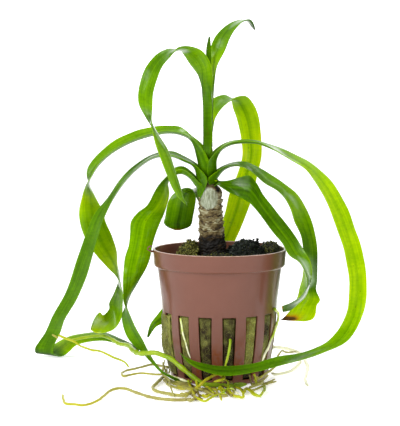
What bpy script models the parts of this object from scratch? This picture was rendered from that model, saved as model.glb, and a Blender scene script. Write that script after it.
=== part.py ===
"""Potted crinum: a water plant with strap leaves on a short scarred stem, rooted in
mineral wool that fills a slotted plastic pot, with its roots spread on the ground.

Metres, +Z up. The origin is the centre of the pot's base, on the ground.
The leaves are laid out in a front view of the plant, as sizes in the upright plane
through the pot's axis, with a depth behind that plane.
"""
import math

import bpy
import bmesh
import numpy as np
from mathutils import Matrix, Vector

MM = 0.001

# Front view: where the eye stands, in millimetres from the origin
EYE_ACROSS = -8.0
EYE_DISTANCE = 645.0
EYE_HEIGHT = 129.0

# Space left between touching pieces, in millimetres
GAP = 0.3

# Pot, in millimetres
POT_HEIGHT = 53.3
RIM_RADIUS = 27.5
RIM_BAND_HEIGHT = 7.0
RIM_BAND_LOW_RADIUS = 27.0
BODY_TOP_RADIUS = 25.6
BASE_RADIUS = 20.0
WALL = 1.1
BASE_THICKNESS = 1.3
POT_STEPS = 60

SLOT_COUNT = 15
SLOT_FIRST_DEGREES = 8.9
SLOT_LOW = 2.0
SLOT_TOP = 28.0
SLOT_TOP_WIDTH = 5.6
SLOT_LOW_WIDTH = 4.3

DRAIN_COUNT = 8
DRAIN_FIRST_DEGREES = 11.0
DRAIN_RADIUS = 2.2
DRAIN_RING_RADIUS = 12.5

# Mineral wool plug and what lies on it
PLUG_TOP = 47.0
PLUG_CLEARANCE = 0.35
SOCKET_RADIUS = 6.2
SOCKET_FLOOR = 32.7
STEM_FOOT_ACROSS = -2.6

# Leaves and roots
LEAF_THICKNESS = 0.8
LEAF_SEGMENT = 6.5
ROOT_SEGMENT = 4.2
ROOT_SIDES_RESOLUTION = 1

# Stem and growing tip: (x, y, z, radius), foot to tip; the thin end is the growing tip
STEM_POINTS = (
    (-2.6, 0.0, 33.0, 5.2), (-2.6, 0.0, 36.0, 5.6), (-2.6, 0.0, 47.0, 5.8),
    (-2.7, 0.0, 51.5, 5.7), (-2.9, 0.0, 53.0, 5.95), (-2.9, 0.0, 54.2, 5.4),
    (-3.1, 0.0, 56.4, 5.7), (-3.1, 0.0, 57.4, 5.2), (-3.3, 0.0, 60.0, 5.5),
    (-3.4, 0.0, 61.0, 5.0), (-3.5, 0.0, 64.0, 5.3), (-3.6, 0.0, 65.0, 4.9),
    (-3.7, 0.0, 68.4, 5.15), (-3.8, 0.0, 69.4, 4.75), (-3.8, 0.0, 73.0, 4.9),
    (-3.8, 0.0, 76.0, 4.6), (-3.9, 0.0, 77.6, 4.0), (-4.0, 0.0, 78.6, 3.1),
    (-4.2, 0.0, 79.4, 2.1), (-4.4, 0.0, 84.0, 1.5), (-4.7, 0.0, 89.0, 1.1),
    (-4.9, 0.0, 93.5, 0.8),
)

# Each leaf runs from its foot to its tip. A station is, in millimetres,
# (x and z of edge a, x and z of edge b, depth of the middle, depth of b less depth of a,
#  how far the channel is folded below the edges).
# Edge a is on the left when the leaf's upper face is seen with the tip ahead.
LEAVES = {
    "leaf_spear": (
        (-5.0, 95.2, -4.6, 95.2, 1.4, 1.1, 0.1),
        (-5.0, 110.2, -4.6, 110.2, 1.5, 1.1, 0.1),
        (-4.8, 120.5, -4.2, 120.5, 1.8, 1.2, 0.1),
        (-5.5, 128.4, -3.6, 128.4, 1.3, 1.0, 0.3),
        (-5.5, 135.0, -3.6, 135.0, 1.2, 1.0, 0.3),
        (-5.0, 137.9, -3.7, 137.9, 1.3, 0.6, 0.2),
        (-4.5, 140.0, -4.0, 140.0, 1.3, 0.2, 0.0),
    ),
    "leaf_top_right": (
        (-3.5, 95.0, -3.2, 95.0, 1.7, -2.0, 0.2),
        (-3.4, 106.1, -3.0, 106.1, 1.7, -2.0, 0.2),
        (-3.3, 116.4, -2.7, 116.4, 1.9, -2.4, 0.3),
        (-3.3, 123.4, -2.3, 123.4, 2.4, -3.4, 0.6),
        (-4.2, 130.9, -0.6, 129.2, 2.6, -4.5, 0.7),
        (-3.7, 135.2, 1.9, 134.2, 3.4, -3.5, 0.7),
        (-1.9, 139.8, 3.9, 139.1, 4.4, -2.5, 0.7),
        (1.2, 143.3, 5.8, 142.4, 5.4, -3.0, 0.6),
        (5.2, 145.9, 7.9, 144.7, 6.4, -4.0, 0.4),
        (9.7, 147.0, 9.9, 146.4, 7.4, -4.2, 0.3),
        (11.6, 145.7, 12.4, 146.8, 8.4, -3.0, 0.2),
        (12.8, 144.1, 13.9, 144.9, 9.1, -2.0, 0.2),
        (14.1, 142.5, 14.5, 142.7, 9.7, -0.4, 0.0),
    ),
    "leaf_centre_arch": (
        (-3.4, 94.8, -4.4, 94.8, -1.9, 3.6, 2.7),
        (-3.4, 101.9, -4.4, 101.9, -1.9, 3.6, 2.7),
        (-3.3, 110.2, -4.4, 110.2, -1.9, 3.7, 2.8),
        (-3.1, 117.6, -5.4, 117.9, -2.1, 4.0, 2.9),
        (-2.9, 122.2, -8.3, 123.3, -2.8, 4.8, 2.0),
        (-3.5, 128.4, -10.3, 126.3, -5.0, 3.8, 1.2),
        (-5.6, 132.5, -12.2, 129.0, -7.5, 3.2, 0.9),
        (-8.7, 135.1, -14.1, 132.1, -10.0, 4.2, 0.8),
        (-12.2, 136.0, -15.7, 134.2, -12.5, 6.4, 0.7),
        (-17.2, 135.3, -17.2, 134.6, -14.5, 7.8, 0.5),
        (-20.1, 132.1, -21.1, 135.0, -16.0, 7.0, 0.6),
        (-23.4, 128.0, -25.4, 133.1, -17.5, 5.6, 0.7),
        (-25.4, 123.4, -29.4, 128.6, -19.0, 4.6, 0.7),
        (-26.5, 119.7, -31.6, 123.6, -20.0, 4.5, 0.7),
        (-27.4, 115.2, -33.0, 117.2, -21.0, 5.0, 0.7),
        (-27.7, 111.0, -32.9, 112.3, -21.7, 5.6, 0.7),
        (-27.9, 106.9, -30.6, 107.7, -22.2, 7.0, 0.6),
        (-28.0, 103.4, -27.6, 103.6, -22.5, 7.8, 0.5),
        (-26.7, 97.8, -24.2, 99.0, -22.5, 7.0, 0.6),
        (-24.6, 91.6, -20.7, 92.8, -22.0, 6.3, 0.7),
        (-21.9, 84.1, -17.9, 84.8, -21.0, 5.8, 0.7),
        (-19.0, 77.3, -15.9, 77.9, -19.5, 4.5, 0.5),
        (-16.1, 73.2, -14.7, 73.8, -18.0, 2.5, 0.3),
        (-13.6, 71.2, -13.3, 71.5, -17.2, 0.4, 0.0),
    ),
    "leaf_right_back": (
        (-6.2, 92.0, -2.7, 92.0, 4.3, -1.0, 1.0),
        (-5.6, 99.9, -4.2, 99.9, 5.4, -3.5, 1.6),
        (-4.8, 109.4, -2.7, 105.7, 7.5, -4.5, 1.9),
        (-3.5, 113.9, 0.6, 110.8, 10.5, -5.5, 1.9),
        (-0.2, 116.0, 4.3, 114.1, 14.0, -5.5, 1.7),
        (3.1, 116.2, 7.6, 115.9, 18.0, -5.0, 1.4),
        (4.8, 113.9, 11.0, 115.9, 21.0, -3.4, 1.0),
        (5.4, 111.0, 13.9, 112.7, 24.0, -2.0, 0.9),
        (7.0, 106.5, 15.9, 107.7, 26.5, -1.0, 0.9),
        (8.7, 99.0, 17.0, 99.9, 29.0, -1.0, 0.9),
        (9.3, 91.6, 17.2, 91.6, 31.0, -2.0, 0.9),
        (7.4, 84.1, 15.7, 84.6, 32.5, -2.0, 0.9),
        (4.1, 75.9, 13.6, 75.0, 33.6, -2.0, 0.9),
        (2.3, 68.0, 10.5, 66.0, 34.3, -2.0, 0.9),
        (-0.6, 59.7, 6.8, 57.3, 34.7, -2.0, 0.8),
        (-4.8, 52.3, 2.3, 48.6, 34.5, -1.5, 0.8),
        (-11.0, 44.0, -5.2, 39.5, 33.5, -1.0, 0.7),
        (-17.6, 35.8, -12.6, 30.4, 31.0, -1.0, 0.7),
        (-25.2, 26.3, -22.1, 22.5, 27.0, -1.5, 0.5),
        (-28.5, 21.7, -26.1, 20.5, 25.5, -1.5, 0.3),
        (-30.0, 16.3, -29.2, 16.1, 24.5, -0.4, 0.0),
    ),
    "leaf_left_back": (
        (-5.8, 88.0, -5.6, 88.6, 0.6, 5.0, 2.0),
        (-7.0, 94.1, -6.4, 94.9, 1.6, 6.0, 2.0),
        (-11.2, 98.6, -11.0, 99.2, 3.2, 7.5, 1.0),
        (-15.1, 100.7, -15.1, 102.8, 5.0, 7.5, 1.7),
        (-20.9, 101.9, -20.5, 103.9, 8.0, 7.5, 2.1),
        (-28.3, 100.7, -28.7, 103.2, 13.0, 7.2, 2.4),
        (-36.6, 97.8, -37.8, 100.5, 18.0, 7.2, 2.4),
        (-44.5, 93.2, -46.1, 95.7, 22.0, 7.4, 2.1),
        (-50.0, 87.9, -51.7, 90.3, 25.0, 7.6, 1.7),
        (-52.7, 82.9, -54.4, 85.0, 27.0, 8.0, 1.0),
        (-54.6, 79.6, -53.8, 80.0, 28.0, 8.8, 0.5),
        (-56.6, 74.2, -51.5, 75.0, 29.0, 7.4, 0.8),
        (-57.7, 68.8, -48.6, 69.7, 30.0, 4.6, 1.0),
        (-57.1, 62.6, -46.8, 63.9, 31.0, 2.4, 1.0),
        (-54.8, 56.4, -44.4, 58.5, 32.0, 2.4, 1.0),
        (-50.7, 50.2, -42.6, 52.3, 33.0, 5.6, 0.9),
        (-46.1, 45.3, -42.0, 46.5, 33.5, 8.4, 0.7),
        (-42.4, 41.4, -41.6, 41.4, 34.0, 9.3, 0.5),
        (-40.3, 35.8, -43.6, 34.9, 34.0, 8.4, 0.7),
        (-40.1, 29.6, -45.7, 30.4, 33.5, 6.4, 0.9),
        (-40.7, 24.2, -45.7, 28.1, 32.5, 4.6, 1.0),
        (-43.6, 19.6, -46.9, 26.3, 31.0, 3.0, 1.0),
        (-47.8, 18.0, -48.2, 25.4, 29.5, 1.0, 1.2),
        (-51.3, 18.0, -49.0, 26.3, 28.0, 0.0, 1.2),
        (-53.5, 19.4, -49.6, 26.7, 26.8, -1.0, 0.9),
    ),
    "leaf_left_long": (
        (-5.8, 82.2, -5.8, 83.2, 0.2, 5.8, 2.0),
        (-7.2, 85.1, -6.8, 85.9, 0.0, 6.2, 1.6),
        (-10.3, 87.8, -9.9, 88.8, 0.4, 7.0, 1.1),
        (-14.3, 89.7, -14.3, 91.1, 1.0, 7.5, 1.0),
        (-20.1, 91.6, -20.1, 93.2, 2.5, 8.0, 1.0),
        (-27.1, 90.8, -27.9, 92.0, 4.5, 8.2, 0.9),
        (-33.3, 86.8, -34.5, 87.9, 7.0, 8.2, 0.9),
        (-38.7, 81.3, -40.7, 81.5, 9.5, 8.0, 0.9),
        (-43.2, 75.0, -46.1, 74.2, 12.0, 7.8, 0.9),
        (-47.1, 66.4, -51.3, 67.4, 14.5, 7.5, 0.9),
        (-50.0, 57.7, -55.2, 58.7, 17.5, 7.0, 0.9),
        (-52.7, 49.0, -58.3, 50.0, 20.5, 6.8, 0.9),
        (-55.4, 40.3, -61.0, 41.8, 24.0, 6.6, 0.8),
        (-59.1, 31.8, -64.7, 32.9, 28.0, 6.4, 0.8),
        (-63.9, 23.8, -69.3, 24.4, 32.5, 6.2, 0.7),
        (-66.0, 18.0, -72.4, 18.0, 37.0, 5.4, 0.6),
        (-68.4, 13.0, -75.2, 13.8, 39.8, 5.0, 0.5),
        (-68.9, 9.8, -76.5, 11.4, 41.2, 4.4, 0.4),
        (-67.4, 8.3, -75.8, 9.4, 42.8, 5.4, 0.3),
        (-65.0, 8.2, -71.4, 10.6, 44.0, 7.0, 0.3),
        (-62.4, 9.9, -67.2, 13.9, 44.6, 7.0, 0.4),
        (-59.3, 12.8, -61.8, 17.0, 44.8, 7.0, 0.6),
        (-53.5, 14.4, -54.4, 18.2, 44.4, 7.0, 0.7),
        (-47.3, 14.5, -47.8, 18.0, 43.2, 6.4, 0.7),
        (-41.1, 12.8, -41.6, 15.7, 41.2, 5.6, 0.6),
        (-36.6, 11.6, -36.6, 13.4, 39.2, 3.4, 0.4),
        (-33.3, 10.5, -33.3, 11.0, 38.0, 0.6, 0.0),
    ),
    "leaf_left_broad": (
        (-6.6, 79.3, -6.6, 80.1, -1.2, 5.4, 2.0),
        (-8.5, 80.6, -8.1, 81.4, -1.4, 6.0, 1.8),
        (-11.0, 83.1, -11.0, 84.5, -1.2, 7.0, 1.8),
        (-15.1, 85.8, -15.1, 87.1, -0.4, 7.5, 2.2),
        (-19.6, 84.8, -19.6, 85.8, 0.2, 8.0, 1.9),
        (-23.4, 81.3, -21.4, 81.5, 0.5, 9.0, 1.2),
        (-26.7, 76.7, -20.7, 76.5, 0.8, 8.0, 1.0),
        (-30.2, 70.9, -21.5, 71.7, 1.0, 6.2, 1.0),
        (-33.7, 68.0, -22.9, 67.4, 0.6, 3.0, 1.0),
        (-36.4, 64.3, -24.8, 63.1, 0.0, 0.0, 1.0),
        (-36.8, 59.3, -26.7, 58.1, -0.5, 0.0, 1.0),
        (-37.4, 54.4, -27.9, 53.5, -1.0, 0.0, 1.0),
        (-38.9, 49.8, -28.6, 49.4, -1.2, 0.0, 1.0),
        (-39.5, 44.9, -30.2, 45.1, -1.5, 1.0, 0.9),
        (-39.7, 39.9, -33.1, 39.9, -2.0, 5.5, 0.8),
        (-39.9, 34.9, -36.0, 34.9, -2.5, 7.4, 0.6),
        (-39.5, 30.4, -38.2, 30.4, -3.0, 8.0, 0.5),
        (-37.2, 25.8, -40.3, 25.4, -3.5, 7.0, 0.6),
        (-34.9, 20.9, -39.5, 19.8, -4.0, 5.6, 0.7),
        (-31.8, 15.5, -37.0, 14.5, -5.0, 4.2, 0.7),
        (-29.0, 9.9, -31.9, 9.7, -7.0, 2.6, 0.6),
        (-26.3, 5.4, -28.0, 5.4, -10.5, 1.8, 0.4),
        (-22.9, 1.7, -24.0, 1.4, -14.0, 1.4, 0.3),
        (-16.9, -1.2, -18.0, -2.0, -18.2, 1.0, 0.2),
        (-12.6, -3.2, -13.2, -3.8, -20.9, 0.8, 0.1),
        (-10.1, -4.4, -10.3, -4.7, -23.2, 0.4, 0.0),
    ),
    "leaf_left_cut": (
        (-10.3, 76.3, -8.9, 76.9, 5.2, 3.4, 0.6),
        (-11.8, 77.7, -9.3, 78.2, 9.0, 3.2, 0.7),
        (-14.7, 77.9, -9.9, 78.0, 12.0, 1.6, 0.8),
        (-18.0, 76.5, -9.7, 76.5, 13.0, 0.0, 0.8),
        (-20.5, 73.8, -9.7, 73.8, 13.0, 0.0, 0.9),
        (-21.7, 70.1, -10.3, 69.7, 13.0, 0.0, 0.9),
        (-22.3, 66.4, -11.0, 66.0, 12.8, 0.0, 0.9),
        (-22.9, 63.7, -11.5, 63.3, 12.6, 0.0, 0.9),
        (-20.6, 61.8, -13.4, 61.7, 12.4, 0.0, 0.5),
        (-18.3, 60.7, -16.2, 60.7, 12.3, 0.0, 0.3),
    ),
    "leaf_right_long": (
        (-4.2, 87.6, -4.2, 86.8, -0.3, -5.4, 2.4),
        (-2.9, 92.0, -2.9, 90.8, -0.6, -6.3, 1.9),
        (-0.2, 95.2, 0.0, 94.5, -1.0, -7.0, 1.3),
        (3.9, 97.4, 4.1, 96.8, -2.0, -7.5, 1.1),
        (9.7, 98.1, 9.7, 97.5, -3.5, -8.0, 0.9),
        (16.3, 97.5, 15.9, 96.8, -5.0, -8.3, 0.7),
        (23.4, 95.3, 21.7, 94.3, -7.0, -8.3, 0.7),
        (31.2, 92.0, 28.3, 90.1, -9.0, -8.0, 0.7),
        (37.4, 88.7, 34.9, 86.2, -11.5, -8.0, 0.7),
        (43.2, 83.9, 39.1, 80.8, -13.5, -7.5, 0.7),
        (48.2, 77.3, 43.0, 74.2, -15.5, -7.0, 0.7),
        (52.3, 70.1, 46.1, 67.6, -17.5, -6.5, 0.7),
        (55.8, 61.4, 49.0, 59.7, -19.5, -6.0, 0.7),
        (58.7, 52.3, 51.5, 51.5, -21.5, -5.5, 0.7),
        (60.4, 42.4, 53.3, 42.0, -23.5, -5.0, 0.7),
        (60.6, 33.3, 53.5, 33.7, -25.5, -4.0, 0.7),
        (59.1, 25.4, 52.5, 26.7, -27.5, -2.0, 0.7),
        (55.8, 18.4, 49.6, 20.3, -29.0, 1.0, 0.7),
        (51.1, 13.4, 44.9, 14.7, -30.5, 4.0, 0.7),
        (42.0, 9.5, 40.3, 12.0, -31.5, 6.5, 0.7),
        (33.7, 6.8, 32.9, 9.6, -32.5, 7.0, 0.7),
        (24.6, 4.2, 23.8, 8.1, -33.0, 7.0, 0.7),
        (14.7, 1.9, 13.9, 5.5, -33.0, 7.0, 0.7),
        (5.2, 0.5, 4.8, 4.4, -32.5, 7.0, 0.7),
        (-2.7, 1.2, -3.5, 4.8, -31.5, 6.4, 0.6),
        (-8.9, 3.3, -9.9, 6.2, -30.5, 5.0, 0.5),
        (-13.0, 6.0, -14.1, 8.1, -29.5, 3.0, 0.3),
        (-16.1, 9.5, -16.5, 9.9, -29.0, 0.5, 0.0),
    ),
    "leaf_right_middle": (
        (-2.9, 83.6, -2.9, 82.4, -0.4, -5.6, 1.8),
        (-1.7, 85.4, -1.4, 84.3, -0.9, -6.3, 1.6),
        (1.2, 87.4, 1.4, 86.6, -1.3, -7.0, 1.2),
        (5.6, 88.7, 5.6, 88.0, -1.7, -7.5, 0.9),
        (10.5, 88.8, 9.9, 87.2, -2.2, -7.5, 0.8),
        (15.9, 86.6, 13.9, 84.6, -3.0, -7.5, 0.8),
        (21.3, 83.2, 18.8, 80.4, -3.7, -7.3, 0.8),
        (26.7, 79.6, 24.0, 77.1, -4.2, -7.2, 0.8),
        (31.6, 75.7, 27.3, 73.4, -4.6, -6.5, 0.6),
        (34.9, 70.9, 29.2, 69.5, -4.8, -5.5, 0.6),
        (37.8, 64.7, 30.8, 64.3, -4.8, -4.0, 0.8),
        (39.5, 57.7, 33.5, 58.5, -4.6, -5.0, 0.8),
        (40.3, 51.5, 34.5, 52.3, -4.2, -5.0, 0.8),
        (40.5, 45.3, 34.7, 46.1, -3.8, -4.5, 0.8),
        (40.3, 39.5, 34.1, 40.7, -3.4, -4.0, 0.8),
        (40.2, 36.0, 33.1, 37.0, -3.2, -2.6, 0.7),
        (41.4, 32.4, 32.3, 33.4, -3.0, -1.2, 0.5),
        (40.3, 28.8, 30.4, 29.2, -3.0, 0.0, 0.5),
        (39.6, 25.4, 27.6, 25.6, -3.0, 0.0, 0.4),
        (36.8, 22.9, 25.4, 23.7, -3.0, 0.0, 0.3),
    ),
    "leaf_right_front": (
        (-0.9, 81.4, -0.9, 79.9, -2.8, -4.2, 0.6),
        (0.6, 81.3, 0.8, 78.8, -4.0, -4.5, 0.8),
        (3.9, 81.5, 3.9, 76.5, -5.5, -4.5, 1.0),
        (8.5, 82.7, 7.6, 74.8, -7.0, -4.0, 1.2),
        (12.2, 83.4, 11.0, 73.0, -8.5, -3.5, 1.2),
        (15.3, 80.2, 12.8, 71.7, -9.7, -3.5, 1.0),
        (18.0, 75.3, 15.7, 68.4, -11.0, -4.0, 0.9),
        (22.5, 69.5, 18.6, 64.7, -12.5, -5.0, 0.9),
        (26.9, 64.1, 22.3, 59.8, -14.0, -5.0, 0.9),
        (31.2, 58.3, 25.8, 55.4, -15.3, -5.0, 0.9),
        (34.5, 52.7, 28.7, 50.4, -16.3, -4.8, 0.9),
        (37.2, 47.3, 32.9, 47.3, -17.0, -5.6, 0.8),
        (38.0, 41.9, 35.7, 41.9, -17.5, -6.2, 0.5),
        (37.2, 37.4, 36.1, 37.2, -18.0, -6.0, 0.4),
        (35.7, 33.5, 34.6, 34.2, -18.3, -5.6, 0.3),
        (32.2, 29.9, 31.2, 31.5, -18.4, -4.8, 0.3),
        (29.7, 27.9, 28.9, 30.4, -18.3, -4.0, 0.4),
        (26.1, 27.0, 25.6, 29.3, -18.0, -3.2, 0.3),
    ),
}

# Each root: radius, then the points that it passes (x, y, z), all in millimetres
ROOTS = {
    "root_thick_green": (0.9, (
        (-63.7, 33.0, 9.2), (-58.8, 33.6, 10.1), (-54.2, 34.0, 10.7), (-49.5, 33.0, 10.9),
        (-46.5, 29.0, 10.4), (-42.9, 21.0, 9.8), (-38.2, 9.0, 11.1), (-35.7, -3.0, 11.4),
        (-32.5, -11.5, 11.6), (-29.0, -14.5, 12.4), (-25.9, -16.0, 12.7), (-22.4, -17.3, 11.7),
        (-19.4, -18.7, 10.5), (-15.9, -20.7, 7.9), (-12.4, -22.8, 5.4), (-9.0, -24.6, 3.2),
        (-6.1, -25.4, 1.7), (-2.3, -25.6, 1.5), (2.3, -25.6, 1.3), (7.0, -25.2, 1.4),
        (10.6, -24.6, 1.7))),
    "root_side_branch": (0.45, (
        (-69.6, 32.0, 11.5), (-66.5, 31.6, 10.2), (-63.3, 31.3, 9.0), (-60.2, 31.0, 7.0),
        (-57.4, 30.0, 6.1), (-54.7, 28.5, 5.5), (-51.8, 26.5, 5.6), (-47.9, 23.5, 4.6),
        (-44.3, 20.5, 3.6), (-41.4, 17.5, 3.0), (-39.4, 15.0, 2.2), (-37.9, 12.5, 1.0))),
    "root_left_loop": (0.6, (
        (-21.6, 8.0, 2.2), (-25.1, 17.0, 1.0), (-28.4, 20.5, 0.8), (-32.4, 15.6, 0.8),
        (-36.3, 10.4, 0.8), (-39.1, 6.7, 0.8), (-40.6, 0.8, 0.8), (-39.1, -4.4, 0.8),
        (-36.8, -1.8, 0.8), (-33.2, 1.7, 0.8), (-29.3, 0.6, 0.8), (-25.5, -1.5, 0.9),
        (-22.3, -2.4, 1.2))),
    "root_long_trailing": (0.6, (
        (-11.3, -48.6, 0.8), (-15.7, -50.0, 0.8), (-21.8, -48.4, 0.8), (-26.6, -45.2, 0.8),
        (-30.3, -40.5, 0.8), (-34.1, -34.6, 0.8), (-37.4, -29.2, 0.8), (-40.5, -28.3, 0.8),
        (-43.3, -33.1, 0.8), (-45.6, -43.8, 0.8), (-48.4, -54.3, 0.8), (-52.1, -58.9, 0.8),
        (-55.6, -57.3, 0.8), (-58.6, -56.4, 0.8), (-60.2, -49.2, 0.8), (-61.5, -39.6, 0.8))),
    "root_low_left_loop": (0.7, (
        (-24.6, -9.0, 1.0), (-25.6, -18.6, 0.8), (-26.7, -27.9, 0.8), (-25.2, -33.6, 0.8),
        (-21.5, -37.3, 0.7), (-18.5, -40.2, 0.7), (-15.0, -41.6, 0.7), (-12.6, -40.6, 0.7))),
    "root_front_loop": (0.6, (
        (-12.6, -22.6, 2.6), (-12.3, -25.2, 1.6), (-11.8, -28.4, 0.9), (-10.8, -36.8, 0.8),
        (-9.9, -45.2, 0.8), (-8.1, -49.0, 0.8), (-6.2, -52.0, 0.8), (-4.4, -47.8, 0.8),
        (-2.2, -42.3, 0.8), (0.2, -38.9, 0.8), (2.5, -40.0, 0.8))),
    "root_raised_loop": (0.55, (
        (-9.7, -36.9, 2.7), (-8.6, -35.2, 3.0), (-7.2, -33.3, 4.0), (-5.7, -31.9, 5.0),
        (-3.9, -30.4, 5.6), (-2.7, -29.9, 6.3), (-0.9, -30.0, 6.9), (0.6, -30.0, 6.2),
        (1.6, -30.8, 5.5), (0.3, -32.4, 5.0), (-1.5, -33.2, 4.6), (-2.7, -33.2, 4.4))),
    "root_cream_curl": (0.5, (
        (1.0, -36.6, 0.8), (2.1, -32.4, 0.9), (3.3, -31.2, 1.2), (5.1, -31.8, 1.1),
        (5.9, -35.3, 0.8), (7.0, -38.6, 0.8))),
    "root_right_zigzag": (0.6, (
        (4.9, -43.2, 0.8), (6.3, -44.3, 0.8), (8.1, -45.2, 0.8), (9.1, -38.0, 0.8),
        (10.3, -30.0, 0.8), (11.4, -32.5, 0.8), (12.1, -38.0, 0.8), (13.4, -41.7, 0.8),
        (14.9, -43.0, 0.8), (16.3, -38.0, 0.8), (17.9, -28.2, 0.8), (17.5, -21.4, 0.8),
        (16.2, -20.4, 1.1))),
    "root_right_tan": (0.55, (
        (14.0, -21.0, 2.6), (16.0, -17.6, 2.6), (19.2, -10.4, 3.4), (22.8, -2.0, 4.2),
        (25.4, 12.0, 7.1), (27.0, 18.0, 7.2), (29.1, 22.0, 5.8), (33.9, 30.0, 4.6))),
    "root_thin_crossing": (0.4, (
        (-23.0, -10.6, 2.6), (-20.7, -19.3, 2.5), (-19.9, -30.0, 2.4), (-19.1, -38.2, 2.1),
        (-17.9, -45.2, 0.8))),
    "root_right_wall": (0.6, (
        (22.1, -9.9, 29.7), (23.9, -6.0, 27.2), (24.2, -5.0, 25.0), (23.4, -6.0, 22.3),
        (22.1, -8.0, 19.2), (20.5, -10.5, 16.2), (19.1, -12.5, 13.1), (17.8, -14.0, 10.7),
        (17.0, -14.6, 8.8))),
    "root_slot_green": (0.6, (
        (3.8, -21.3, 20.0), (4.2, -22.9, 18.6), (3.6, -24.2, 15.0), (2.4, -25.4, 11.0),
        (1.6, -25.8, 8.0))),
    "root_slot_pale": (0.4, (
        (-15.9, -17.2, 27.0), (-15.3, -17.6, 23.8), (-14.6, -17.9, 19.9), (-13.7, -18.1, 16.3),
        (-12.8, -18.2, 13.5), (-11.7, -18.4, 10.9))),
    "root_back_right": (0.6, (
        (23.9, 30.0, 6.6), (27.7, 38.0, 4.8), (31.5, 45.0, 2.8), (36.2, 46.5, 1.0),
        (37.8, 39.0, 0.8), (37.6, 28.0, 0.8), (37.8, 15.5, 0.8), (36.6, 3.7, 0.8),
        (35.3, -6.4, 0.8), (34.8, -17.6, 0.8), (35.3, -23.9, 0.8))),
    "root_right_arc": (0.55, (
        (35.2, 26.0, 0.8), (32.4, 14.0, 0.8), (29.2, 5.2, 0.8), (25.7, 0.8, 0.8),
        (23.1, -0.5, 0.8), (21.5, 2.0, 1.0))),
    "root_strand_inner": (0.6, (
        (-21.9, -8.0, 0.9), (-19.8, -15.5, 0.8), (-16.6, -22.8, 0.8), (-13.9, -26.2, 0.8))),
    "root_strand_outer": (0.6, (
        (-22.6, -13.0, 0.9), (-20.4, -22.5, 0.8), (-16.4, -28.7, 0.8), (-13.6, -31.0, 0.8))),
}

# Dead plastic strip left on the rim's left side: centre line in millimetres
RIM_TAB_RADIUS = 0.45
RIM_TAB_POINTS = (
    (-26.9, -0.2, 51.6), (-28.3, -0.2, 52.1), (-29.7, -0.2, 52.7), (-30.3, 0.0, 53.6),
    (-29.4, 0.2, 54.2), (-28.4, 0.3, 54.0),
)


def new_collection(name):
    collection = bpy.data.collections.new(name)
    bpy.context.scene.collection.children.link(collection)
    return collection


def make_material(name, colour, roughness):
    material = bpy.data.materials.new(name)
    material.use_nodes = True
    shader = material.node_tree.nodes["Principled BSDF"]
    shader.inputs["Base Color"].default_value = (*colour, 1.0)
    shader.inputs["Roughness"].default_value = roughness
    shader.inputs["Metallic"].default_value = 0.0
    return material


def add_object(name, data, collection, material=None):
    thing = bpy.data.objects.new(name, data)
    collection.objects.link(thing)
    if material:
        data.materials.append(material)
    return thing


def smooth_path(stations, spacing):
    """Rows sampled every `spacing` along a Catmull-Rom curve through the stations.

    The first six columns of a leaf's row are its two edges and the first three of a
    root's row are its point; lengths are measured on the middle of those.
    """
    rows = np.array(stations, dtype=float)
    middle = (rows[:, 0:3] + rows[:, 3:6]) / 2 if rows.shape[1] > 5 else rows[:, 0:3]
    knots = np.concatenate([[0.0], np.cumsum(np.linalg.norm(np.diff(middle, axis=0), axis=1) ** 0.5)])
    slopes = np.gradient(rows, knots, axis=0)
    fine = np.linspace(0.0, knots[-1], 40 * len(rows))
    part = np.clip(np.searchsorted(knots, fine, side="right") - 1, 0, len(knots) - 2)
    width = (knots[part + 1] - knots[part])[:, None]
    t = ((fine - knots[part])[:, None]) / width
    curve = ((2 * t**3 - 3 * t**2 + 1) * rows[part] + (t**3 - 2 * t**2 + t) * width * slopes[part]
             + (3 * t**2 - 2 * t**3) * rows[part + 1] + (t**3 - t**2) * width * slopes[part + 1])
    middle = (curve[:, 0:3] + curve[:, 3:6]) / 2 if rows.shape[1] > 5 else curve[:, 0:3]
    length = np.concatenate([[0.0], np.cumsum(np.linalg.norm(np.diff(middle, axis=0), axis=1))])
    count = max(4, int(round(length[-1] / spacing)) + 1)
    at = np.linspace(0.0, length[-1], count)
    return np.stack([np.interp(at, length, curve[:, i]) for i in range(curve.shape[1])], axis=1)


def from_front_view(across, up, depth):
    """The point that the front view shows at (across, up), `depth` behind the pot's axis."""
    reach = 1.0 + depth / EYE_DISTANCE
    return (EYE_ACROSS + (across - EYE_ACROSS) * reach, depth, EYE_HEIGHT - (EYE_HEIGHT - up) * reach)


def leaf_rows(stations):
    rows = []
    for across_a, up_a, across_b, up_b, depth, step, fold in stations:
        edge_a = from_front_view(across_a, up_a, depth - step / 2)
        edge_b = from_front_view(across_b, up_b, depth + step / 2)
        rows.append((*edge_a, *edge_b, fold))
    return rows


def make_leaf(name, stations, collection, material):
    """A channelled strap: two edges and a folded middle line, given its thickness."""
    rows = smooth_path(leaf_rows(stations), LEAF_SEGMENT)
    edge_a, edge_b, fold = rows[:, 0:3], rows[:, 3:6], rows[:, 6:7]
    middle = (edge_a + edge_b) / 2
    ahead = np.gradient(middle, axis=0)
    under = np.cross(ahead, edge_b - edge_a)
    under /= np.linalg.norm(under, axis=1)[:, None]
    lines = (edge_a, middle + under * fold, edge_b)

    bm = bmesh.new()
    bmesh.ops.create_grid(bm, x_segments=2, y_segments=len(rows) - 1, size=1.0)
    for vert in bm.verts:
        column = round(vert.co.x + 1.0)
        row = round((vert.co.y + 1.0) / 2 * (len(rows) - 1))
        vert.co = Vector(lines[column][row]) * MM
    mesh = bpy.data.meshes.new(name)
    bm.to_mesh(mesh)
    bm.free()
    mesh.shade_smooth()
    leaf = add_object(name, mesh, collection, material)
    solidify = leaf.modifiers.new("Thickness", "SOLIDIFY")
    solidify.thickness = LEAF_THICKNESS * MM
    solidify.offset = 0.0
    return leaf


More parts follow.
